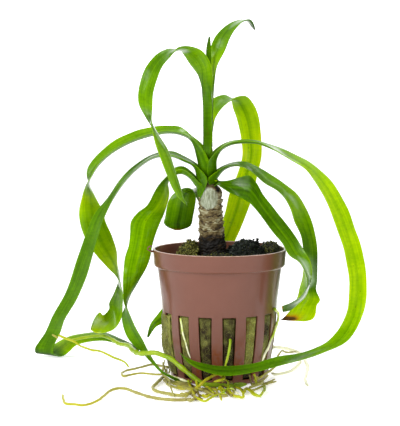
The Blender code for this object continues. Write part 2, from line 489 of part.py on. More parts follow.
def make_tube(name, points, radii, collection, material, resolution):
    """A round tube through `points`, with its own radius at each of them."""
    curve = bpy.data.curves.new(name, "CURVE")
    curve.dimensions = "3D"
    curve.bevel_depth = MM
    curve.bevel_resolution = resolution
    curve.render_resolution_u = 0
    curve.use_fill_caps = True
    spline = curve.splines.new("POLY")
    spline.points.add(len(points) - 1)
    for point, place, radius in zip(spline.points, points, radii):
        point.co = (*(Vector(place) * MM), 1.0)
        point.radius = radius
    return add_object(name, curve, collection, material)


def make_root(name, radius, points, collection, material):
    path = smooth_path(points, ROOT_SEGMENT)
    along = np.linspace(0.0, 1.0, len(path))
    radii = radius * (1.0 - 0.3 * along)
    return make_tube(name, path, radii, collection, material, ROOT_SIDES_RESOLUTION)


def tube_to_mesh(tube):
    """Swap a curve object for a closed mesh object of the same name."""
    name = tube.name
    evaluated = tube.evaluated_get(bpy.context.evaluated_depsgraph_get())
    mesh = bpy.data.meshes.new_from_object(evaluated)
    bm = bmesh.new()
    bm.from_mesh(mesh)
    bmesh.ops.remove_doubles(bm, verts=bm.verts, dist=0.01 * MM)
    bm.to_mesh(mesh)
    bm.free()
    solid = bpy.data.objects.new(name + "_solid", mesh)
    solid.matrix_world = tube.matrix_world
    for collection in tube.users_collection:
        collection.objects.link(solid)
    bpy.data.objects.remove(tube, do_unlink=True)
    solid.name = name
    return solid


def make_turned(name, profile, steps, collection, material):
    """A profile of (radius, height) at +X, top to bottom down its outer side, turned.

    A profile that ends at its first point is a closed ring. No edge runs along the axis.
    """
    ring = profile[0] == profile[-1]
    verts = [(radius * MM, 0.0, height * MM) for radius, height in (profile[:-1] if ring else profile)]
    edges = [(i, (i + 1) % len(verts)) for i in range(len(profile) - 1)]
    edges = [edge for edge in edges if verts[edge[0]][0] > 0.0 or verts[edge[1]][0] > 0.0]
    mesh = bpy.data.meshes.new(name)
    mesh.from_pydata(verts, edges, [])
    turned = add_object(name, mesh, collection, material)
    screw = turned.modifiers.new("Turn", "SCREW")
    screw.axis = "Z"
    screw.steps = steps
    screw.render_steps = steps
    screw.use_merge_vertices = True
    screw.merge_threshold = 0.01 * MM
    screw.use_smooth_shade = True
    return turned


def add_boolean(target, other, operation, label):
    cut = target.modifiers.new(label, "BOOLEAN")
    cut.operation = operation
    cut.object = other
    cut.solver = "EXACT"


def hide_guide(guide):
    guide.hide_render = True
    guide.display_type = "WIRE"


def make_ring_cutter(name, count, first_degrees, shape, collection):
    """One mesh of `count` closed shapes about the axis; `shape` builds one facing -Y."""
    bm = bmesh.new()
    for index in range(count):
        verts = shape(bm)
        turn = Matrix.Rotation(math.radians(first_degrees + index * 360.0 / count), 3, "Z")
        bmesh.ops.rotate(bm, verts=verts, cent=(0.0, 0.0, 0.0), matrix=turn)
    mesh = bpy.data.meshes.new(name)
    bm.to_mesh(mesh)
    bm.free()
    cutter = add_object(name, mesh, collection)
    hide_guide(cutter)
    return cutter


def slot_shape(bm):
    """A box through the pot's wall, wider at its top."""
    verts = bmesh.ops.create_cube(bm, size=1.0)["verts"]
    for vert in verts:
        top = vert.co.z > 0
        width = SLOT_TOP_WIDTH if top else SLOT_LOW_WIDTH
        depth = RIM_RADIUS if vert.co.y < 0 else BASE_RADIUS - 4.0
        vert.co = Vector((math.copysign(width / 2, vert.co.x), -depth, SLOT_TOP if top else SLOT_LOW)) * MM
    return verts


def drain_shape(bm):
    place = Matrix.Translation((0.0, -DRAIN_RING_RADIUS * MM, 0.0))
    made = bmesh.ops.create_cone(bm, cap_ends=True, segments=12, radius1=DRAIN_RADIUS * MM,
                                 radius2=DRAIN_RADIUS * MM, depth=4.0 * MM, matrix=place)
    return made["verts"]


def wall_radius(height):
    """Radius of the inside of the pot's wall below its rim band."""
    share = height / (POT_HEIGHT - RIM_BAND_HEIGHT)
    return BASE_RADIUS + (BODY_TOP_RADIUS - BASE_RADIUS) * share - WALL


def make_pot(parts, cutters):
    band_low = POT_HEIGHT - RIM_BAND_HEIGHT
    profile = (
        (RIM_RADIUS - 0.9, POT_HEIGHT), (RIM_RADIUS - 0.3, POT_HEIGHT), (RIM_RADIUS, POT_HEIGHT - 0.4),
        (RIM_BAND_LOW_RADIUS, band_low + 0.7), (RIM_BAND_LOW_RADIUS - 0.5, band_low),
        (BODY_TOP_RADIUS, band_low - 0.3), (BASE_RADIUS, 0.7), (BASE_RADIUS - 0.6, 0.0), (0.0, 0.0),
    )
    inside = (
        (0.0, BASE_THICKNESS), (wall_radius(BASE_THICKNESS), BASE_THICKNESS),
        (wall_radius(band_low), band_low + 0.6), (RIM_BAND_LOW_RADIUS - WALL, band_low + 1.4),
        (RIM_RADIUS - 0.9, POT_HEIGHT),
    )
    plastic = make_material("brown_plastic", (0.30, 0.135, 0.105), 0.45)
    pot = make_turned("pot", profile + inside, POT_STEPS, parts, plastic)
    slots = make_ring_cutter("slot_cutter", SLOT_COUNT, SLOT_FIRST_DEGREES, slot_shape, cutters)
    drains = make_ring_cutter("drain_cutter", DRAIN_COUNT, DRAIN_FIRST_DEGREES, drain_shape, cutters)
    tab = make_tube("rim_tab", RIM_TAB_POINTS, [RIM_TAB_RADIUS] * len(RIM_TAB_POINTS), cutters, None, 1)
    tab = tube_to_mesh(tab)
    hide_guide(tab)
    add_boolean(pot, slots, "DIFFERENCE", "Slots")
    add_boolean(pot, drains, "DIFFERENCE", "Drains")
    add_boolean(pot, tab, "UNION", "Rim tab")
    return pot


def make_plug(parts, cutters):
    """The mineral wool that fills the pot, with the hole that the stem stands in."""
    low = BASE_THICKNESS + GAP
    profile = (
        (0.0, PLUG_TOP), (wall_radius(PLUG_TOP) - 1.6, PLUG_TOP),
        (wall_radius(PLUG_TOP - 1.6) - PLUG_CLEARANCE, PLUG_TOP - 1.6),
        (wall_radius(low) - PLUG_CLEARANCE, low), (0.0, low),
    )
    wool = make_material("mineral_wool", (0.20, 0.22, 0.07), 0.95)
    plug = make_turned("wool_plug", profile, 40, parts, wool)
    bm = bmesh.new()
    depth = (PLUG_TOP - SOCKET_FLOOR) * 2
    place = Matrix.Translation((STEM_FOOT_ACROSS * MM, 0.0, PLUG_TOP * MM))
    bmesh.ops.create_cone(bm, cap_ends=True, segments=20, radius1=SOCKET_RADIUS * MM,
                          radius2=SOCKET_RADIUS * MM, depth=depth * MM, matrix=place)
    mesh = bpy.data.meshes.new("socket_cutter")
    bm.to_mesh(mesh)
    bm.free()
    socket = add_object("socket_cutter", mesh, cutters)
    hide_guide(socket)
    add_boolean(plug, socket, "DIFFERENCE", "Stem socket")
    return plug


def make_clump(name, centre, reach, lumps, parts, material):
    """A lumpy dome standing on the plug: a sphere, swollen by waves and cut flat."""
    bm = bmesh.new()
    bmesh.ops.create_icosphere(bm, subdivisions=3, radius=1.0)
    for vert in bm.verts:
        x, y, z = vert.co
        swell = math.sin(x * lumps + 1.3) * math.cos(y * lumps * 1.2) + math.sin(z * lumps * 1.4 + y * 3.0)
        vert.co = Vector((x * reach[0], y * reach[1], z * reach[2])) * (1.0 + 0.06 * swell)
    floor = bm.verts[:] + bm.edges[:] + bm.faces[:]
    cut = bmesh.ops.bisect_plane(bm, geom=floor, plane_co=(0.0, 0.0, 0.0), plane_no=(0.0, 0.0, 1.0),
                                 clear_inner=True)
    edges = [part for part in cut["geom_cut"] if isinstance(part, bmesh.types.BMEdge)]
    bmesh.ops.contextual_create(bm, geom=edges)
    bmesh.ops.recalc_face_normals(bm, faces=bm.faces)
    bmesh.ops.scale(bm, vec=(MM, MM, MM), verts=bm.verts)
    bmesh.ops.translate(bm, vec=Vector((centre[0], centre[1], PLUG_TOP + GAP)) * MM, verts=bm.verts)
    mesh = bpy.data.meshes.new(name)
    bm.to_mesh(mesh)
    bm.free()
    mesh.shade_smooth()
    return add_object(name, mesh, parts, material)


def make_stem(parts):
    bark = make_material("scarred_stem", (0.30, 0.25, 0.15), 0.8)
    places = [point[:3] for point in STEM_POINTS]
    radii = [point[3] for point in STEM_POINTS]
    return make_tube("stem", places, radii, parts, bark, 6)


def main():
    for thing in list(bpy.data.objects):
        bpy.data.objects.remove(thing, do_unlink=True)
    parts = new_collection("potted_crinum")
    cutters = new_collection("cutters")

    make_pot(parts, cutters)
    make_plug(parts, cutters)
    moss = make_material("moss", (0.13, 0.13, 0.035), 0.95)
    crumb = make_material("dark_crumb", (0.02, 0.028, 0.022), 0.95)
    make_clump("moss_cushion", (-13.4, 2.0), (4.4, 6.5, 7.8), 3.0, parts, moss)
    make_clump("soil_mound", (10.4, 2.2), (7.1, 9.8, 8.8), 3.4, parts, crumb)
    make_clump("moss_patch", (21.3, 2.6), (2.5, 6.4, 6.4), 3.0, parts, moss)
    make_stem(parts)
    for name, stations in LEAVES.items():
        green = make_material(name + "_green", (0.10, 0.28, 0.01), 0.35)
        make_leaf(name, stations, parts, green)
    for name, (radius, points) in ROOTS.items():
        tone = (0.35, 0.42, 0.03) if name == "root_thick_green" else (0.50, 0.45, 0.18)
        make_root(name, radius, points, parts, make_material(name + "_skin", tone, 0.5))


main()
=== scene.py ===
# Potted crinum: strap leaves on a short scarred stem, a slotted brown pot filled with
# mineral wool, and roots spread on the ground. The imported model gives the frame.
import functools
import math

import bpy
import numpy as np
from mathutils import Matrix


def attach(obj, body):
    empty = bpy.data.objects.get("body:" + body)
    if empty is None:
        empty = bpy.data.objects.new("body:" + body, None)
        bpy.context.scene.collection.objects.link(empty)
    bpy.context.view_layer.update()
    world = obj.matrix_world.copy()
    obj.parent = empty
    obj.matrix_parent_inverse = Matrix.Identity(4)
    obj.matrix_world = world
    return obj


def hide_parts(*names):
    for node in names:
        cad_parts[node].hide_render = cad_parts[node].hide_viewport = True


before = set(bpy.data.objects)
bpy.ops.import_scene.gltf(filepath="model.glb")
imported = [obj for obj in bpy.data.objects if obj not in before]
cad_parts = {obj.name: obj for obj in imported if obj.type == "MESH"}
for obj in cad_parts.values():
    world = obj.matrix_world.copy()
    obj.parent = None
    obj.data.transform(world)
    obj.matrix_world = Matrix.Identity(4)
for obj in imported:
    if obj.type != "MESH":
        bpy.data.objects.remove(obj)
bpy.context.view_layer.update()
print("frame loaded:", len(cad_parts), "nodes")

mm = 0.001  # sizes are given in millimetres, and the scene is in metres


def toLinear(hexColour):
    # sRGB hex to linear: each channel is 8-bit, and its curve is undone
    channels = np.array([int(hexColour[i:i + 2], 16) for i in (1, 3, 5)]) / 255
    linear = np.where(channels > 0.04045, ((channels + 0.055) / 1.055) ** 2.4, channels / 12.92)
    return (*linear.tolist(), 1.0)


def fillInputs(node, inputs):
    # each input is set to a value or linked; a node given for one stands for its first output in use
    for key, source in inputs.items():
        if isinstance(source, bpy.types.Node):
            source = next(output for output in source.outputs if output.enabled)
        if isinstance(source, bpy.types.NodeSocket):
            node.id_data.links.new(source, node.inputs[key])
        else:
            node.inputs[key].default_value = source


def addNode(tree, kind, inputs=None, **settings):
    # a node with its settings and what goes into it
    node = tree.nodes.new(kind)
    for key, value in settings.items():
        setattr(node, key, value)
    fillInputs(node, inputs or {})
    return node


def fillRamp(node, stops):
    # colour stops of a ramp node, as (place, hex colour)
    ramp = node.color_ramp
    while len(ramp.elements) < len(stops):
        ramp.elements.new(0.5)
    for element, (place, colour) in zip(ramp.elements, stops):
        element.position = place
        element.color = toLinear(colour)


def startMaterial(name, roughness, coat=0.0, coatRoughness=0.1, gloss=0.5):
    # a material, its surface shader with plain values, and addNode for its own tree
    material = bpy.data.materials.new(name)
    material.use_nodes = True
    shader = material.node_tree.nodes["Principled BSDF"]
    fillInputs(shader, {"Roughness": roughness, "Coat Weight": coat, "Coat Roughness": coatRoughness,
                        "Specular IOR Level": gloss})
    return material, shader, functools.partial(addNode, material.node_tree)


def ripple(points, size, waves=9, seed=1):
    # smooth bumps between about -1 and 1: a sum of sine waves in seeded directions, `size` apart
    rng = np.random.default_rng(seed)
    directions = rng.normal(size=(waves, 3))
    directions /= np.linalg.norm(directions, axis=1)[:, None]
    lengths = size * rng.uniform(0.6, 1.7, waves)
    phases = rng.uniform(0, 2 * np.pi, waves)
    total = np.zeros(points.shape[:-1])
    for direction, length, phase in zip(directions, lengths, phases):
        total += np.sin(points @ direction * 2 * np.pi / length + phase)
    return total / math.sqrt(waves)


def buildMesh(name, points, quads, triangles, values, material):
    # points in millimetres; quads and triangles as index arrays; values become point attributes
    mesh = bpy.data.meshes.new(name)
    mesh.vertices.add(len(points))
    mesh.vertices.foreach_set("co", (points * mm).astype(np.float32).ravel())
    corners = np.concatenate([quads.ravel(), triangles.ravel()])
    sizes = np.concatenate([np.full(len(quads), 4), np.full(len(triangles), 3)])
    mesh.loops.add(len(corners))
    mesh.loops.foreach_set("vertex_index", corners.astype(np.int32))
    mesh.polygons.add(len(sizes))
    mesh.polygons.foreach_set("loop_start", (np.cumsum(sizes) - sizes).astype(np.int32))
    mesh.update(calc_edges=True)
    mesh.shade_smooth()
    for key, value in values.items():
        vector = value.ndim == 2
        attribute = mesh.attributes.new(key, "FLOAT_VECTOR" if vector else "FLOAT", "POINT")
        attribute.data.foreach_set("vector" if vector else "value", value.astype(np.float32).ravel())
    mesh.materials.append(material)
    piece = bpy.data.objects.new(name, mesh)
    bpy.context.scene.collection.objects.link(piece)
    return piece


def tubes(name, rings, values, material):
    # rings[tube, row, column]: neighbouring rows are joined all round, and a fan closes each end
    count, rows, columns = rings.shape[:3]
    grid = np.arange(count * rows * columns).reshape(count, rows, columns)
    onward = np.roll(grid, -1, axis=2)
    quads = np.stack([grid[:, :-1], onward[:, :-1], onward[:, 1:], grid[:, 1:]], axis=-1).reshape(-1, 4)
    first = np.repeat(grid.size + 2 * np.arange(count)[:, None], columns, axis=1)
    fans = [np.stack([first, onward[:, 0], grid[:, 0]], axis=-1),
            np.stack([first + 1, grid[:, -1], onward[:, -1]], axis=-1)]
    triangles = np.concatenate(fans).reshape(-1, 3)

    def withCentres(value):
        ends = value[:, [0, -1]].mean(axis=2)
        flat = (-1, 3) if value.ndim == 4 else (-1,)
        return np.concatenate([value.reshape(flat), ends.reshape(flat)])

    whole = {key: withCentres(value) for key, value in values.items()}
    return buildMesh(name, withCentres(rings), quads, triangles, whole, material)


def settle(piece, nodes):
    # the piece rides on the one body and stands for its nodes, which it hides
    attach(piece, "root")
    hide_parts(*nodes)


def smoothPath(stations, spacing, edges=2):
    # Catmull-Rom curve through the stations, sampled at even steps of its middle line.
    # A last column is added: how far along the stations each row is.
    rows = np.array(stations, dtype=float)
    rows = np.column_stack([rows, np.arange(len(rows))])

    def middleOf(line):
        return (line[:, 0:3] + line[:, 3:6]) / 2 if edges == 2 else line[:, 0:3]

    knots = np.linalg.norm(np.diff(middleOf(rows), axis=0), axis=1) ** 0.5
    knots = np.concatenate([[0.0], np.cumsum(knots)])
    slopes = np.gradient(rows, knots, axis=0)
    fine = np.linspace(0.0, knots[-1], 60 * len(rows))
    part = np.clip(np.searchsorted(knots, fine, side="right") - 1, 0, len(knots) - 2)
    width = (knots[part + 1] - knots[part])[:, None]
    t = (fine - knots[part])[:, None] / width
    curve = ((2 * t**3 - 3 * t**2 + 1) * rows[part] + (t**3 - 2 * t**2 + t) * width * slopes[part]
             + (3 * t**2 - 2 * t**3) * rows[part + 1] + (t**3 - t**2) * width * slopes[part + 1])
    steps = np.linalg.norm(np.diff(middleOf(curve), axis=0), axis=1)
    length = np.concatenate([[0.0], np.cumsum(steps)])
    at = np.linspace(0.0, length[-1], max(4, int(round(length[-1] / spacing)) + 1))
    columns = [np.interp(at, length, curve[:, i]) for i in range(curve.shape[1])]
    return np.stack(columns, axis=1), at


def roundRings(path, radii, sides):
    # circles square to the path, each turned as little as possible from the one before it
    ahead = np.gradient(path, axis=0)
    ahead /= np.linalg.norm(ahead, axis=1)[:, None]
    across = np.zeros_like(path)
    side = np.cross(ahead[0], (0.31, 0.43, 0.85))
    for row, direction in enumerate(ahead):
        side = side - direction * (side @ direction)
        side /= np.linalg.norm(side)
        across[row] = side
    up = np.cross(ahead, across)
    angle = np.linspace(0, 2 * np.pi, sides, endpoint=False)
    circle = across[:, None] * np.cos(angle)[None, :, None] + up[:, None] * np.sin(angle)[None, :, None]
    return path[:, None] + circle * np.asarray(radii)[:, None, None]


# Front view in which the leaves are laid out: where the eye stands, in millimetres
eye = {"across": -8.0, "distance": 645.0, "height": 129.0}


def fromFrontView(across, up, depth):
    # the point at this depth that the eye sees at this place of the front view
    reach = 1.0 + depth / eye["distance"]
    return (eye["across"] + (across - eye["across"]) * reach, depth,
            eye["height"] - (eye["height"] - up) * reach)


# Leaves
# living strap leaf: parallel veins 0.5 mm apart, finer cross veins, a midrib and a waxy skin that
# is glossy in bands; its gloss is tinted where it is weak, because light also turns back inside.
# Its colour also holds painted light: tones lit through or shaded, lighter edges, and a pale
# painted highlight in streaks where the sheen is high
leafTissue = {
    "deep": "#142800", "dark": "#264600", "middle": "#406a00", "light": "#5e8a00",
    "bright": "#7ea600", "glow": "#9ec000", "yellow": "#cfcb00", "paintedHighlight": "#b4c8ae",
    "withered": "#4e3418", "scorched": "#a8780a", "fleck": "#4b4a08", "glossTint": "#a0c818",
    "ramp": (("deep", 0), ("dark", 0.18), ("middle", 0.34), ("light", 0.5), ("bright", 0.66),
             ("glow", 0.8), ("yellow", 0.96)),
    # patterns that follow the leaf: size across and along in millimetres, and detail
    "patterns": {"veins": (0.55, 38, 1), "crossVeins": (2.6, 0.85, 0), "streaks": (1.6, 16, 1),
                 "flecks": (0.5, 1.5, 0), "bands": (2.4, 10, 2)},
    "patchSize": 9.0, "facesApart": 7.0,
    # how far each pattern moves the tone
    "swings": {"veins": 0.3, "crossVeins": 0.12, "patches": 0.26, "streaks": 0.18},
    "paintedRimLight": 0.16, "toneScale": 0.8, "fleckShare": 0.74, "fleckReach": 1.5, "fleckAmount": 0.55,
    "roughness": 0.42, "gloss": 0.12, "coatRoughness": 0.17, "reliefMm": 0.07,
}


def leafMaterial(look):
    material, shader, add = startMaterial("glossyCrinumLeaf", look["roughness"], 0.0,
                                          look["coatRoughness"], look["gloss"])
    place = add("ShaderNodeAttribute", attribute_name="place").outputs["Vector"]
    across = add("ShaderNodeSeparateXYZ", {0: place}).outputs["X"]
    tone, rim, rib, dying, sheen = (add("ShaderNodeAttribute", attribute_name=key).outputs["Fac"]
                                    for key in ("tone", "rim", "rib", "dying", "sheen"))

    # patches run through the solid leaf; the other patterns follow it, and differ on its two faces
    solid = add("ShaderNodeTexCoord").outputs["Object"]
    patterns = {"patches": add("ShaderNodeTexNoise", {
        "Vector": solid, "Scale": 1 / (look["patchSize"] * mm), "Detail": 2.0, "Roughness": 0.55})}
    for key, (acrossSize, alongSize, detail) in look["patterns"].items():
        size = (acrossSize, alongSize, 1 / look["facesApart"])
        spot = add("ShaderNodeVectorMath", {0: place, 1: size}, operation="DIVIDE")
        patterns[key] = add("ShaderNodeTexNoise", {"Vector": spot, "Scale": 1.0, "Detail": detail,
                                                   "Roughness": 0.55})

    # tone of each point: what the leaf has there and on its midrib, the patterns, then its edge,
    # which is lightened as a painted backlit rim
    total = add("ShaderNodeMath", {0: tone, 1: rib}, operation="ADD")
    for key, amount in look["swings"].items():
        swing = add("ShaderNodeMath", {0: patterns[key], 1: 0.5}, operation="SUBTRACT")
        total = add("ShaderNodeMath", {0: swing, 1: amount, 2: total}, operation="MULTIPLY_ADD")
    total = add("ShaderNodeMath", {0: rim, 1: look["paintedRimLight"], 2: total}, operation="MULTIPLY_ADD")
    total = add("ShaderNodeMath", {0: total, 1: look["toneScale"]}, operation="MULTIPLY")
    colour = add("ShaderNodeValToRGB", {0: total})
    fillRamp(colour, [(at, look[key]) for key, at in look["ramp"]])

    # brown flecks in lines near the midrib
    fleck = add("ShaderNodeMath", {0: patterns["flecks"], 1: look["fleckShare"]}, operation="GREATER_THAN")
    near = add("ShaderNodeMath", {0: across}, operation="ABSOLUTE")
    near = add("ShaderNodeMath", {0: near, 1: look["fleckReach"]}, operation="LESS_THAN")
    fleck = add("ShaderNodeMath", {0: fleck, 1: near}, operation="MULTIPLY")
    fleck = add("ShaderNodeMath", {0: fleck, 1: look["fleckAmount"]}, operation="MULTIPLY")

    # scorched and then withered tissue where the leaf dies
    uneven = add("ShaderNodeMath", {0: patterns["patches"], 1: 0.5}, operation="SUBTRACT")
    edge = add("ShaderNodeMath", {0: uneven, 1: 1.6, 2: dying}, operation="MULTIPLY_ADD")
    edge = add("ShaderNodeMath", {0: edge, 1: dying}, operation="MULTIPLY")
    scorched = add("ShaderNodeMath", {0: edge, 1: 2.6}, operation="MULTIPLY", use_clamp=True)
    withered = add("ShaderNodeMath", {0: edge, 1: 3.4, 2: -1.2}, operation="MULTIPLY_ADD", use_clamp=True)

    # the gloss comes in lengthwise bands, and fully where the leaf's own sheen says so; where the
    # sheen is high (above 0.75) a pale painted highlight is mixed into the colour in streaks as well
    bands = add("ShaderNodeMath", {0: patterns["bands"], 1: 3.0, 2: -1.55}, operation="MULTIPLY_ADD",
                use_clamp=True)
    wax = add("ShaderNodeMath", {0: bands, 1: 0.4, 2: sheen}, operation="MULTIPLY_ADD", use_clamp=True)
    streaky = add("ShaderNodeMath", {0: patterns["bands"], 1: 2.0, 2: -0.1}, operation="MULTIPLY_ADD")
    paintedHighlight = add("ShaderNodeMath", {0: sheen, 1: 0.75}, operation="SUBTRACT")
    paintedHighlight = add("ShaderNodeMath", {0: paintedHighlight, 1: streaky}, operation="MULTIPLY")
    paintedHighlight = add("ShaderNodeMath", {0: paintedHighlight, 1: 0.9}, operation="MULTIPLY", use_clamp=True)
    for factor, key in ((fleck, "fleck"), (scorched, "scorched"), (withered, "withered"), (paintedHighlight, "paintedHighlight")):
        colour = add("ShaderNodeMix", {"Factor": factor, "A": colour, "B": toLinear(look[key])},
                     data_type="RGBA")
    bump = add("ShaderNodeBump", {"Height": patterns["veins"], "Strength": 0.6,
                                  "Distance": look["reliefMm"] * mm})
    fillInputs(shader, {"Base Color": colour, "Coat Weight": wax, "Normal": bump,
                        "Specular Tint": toLinear(look["glossTint"])})
    return material


# All leaves but the two inner ones start with a foot, drawn towards the crown and lower than their
# first station. They are thinner where they are narrower than fullAt to each side.
leafShape = {
    "spacing": 1.0, "columns": 15, "edge": 0.22, "middle": 0.85, "fullAt": 2.2,
    "waveSize": 14.0, "waveHeight": 0.16, "ribHalfWidth": 0.42,
    "crown": -4.4, "footShare": 0.55, "footDrop": 5.0,
}
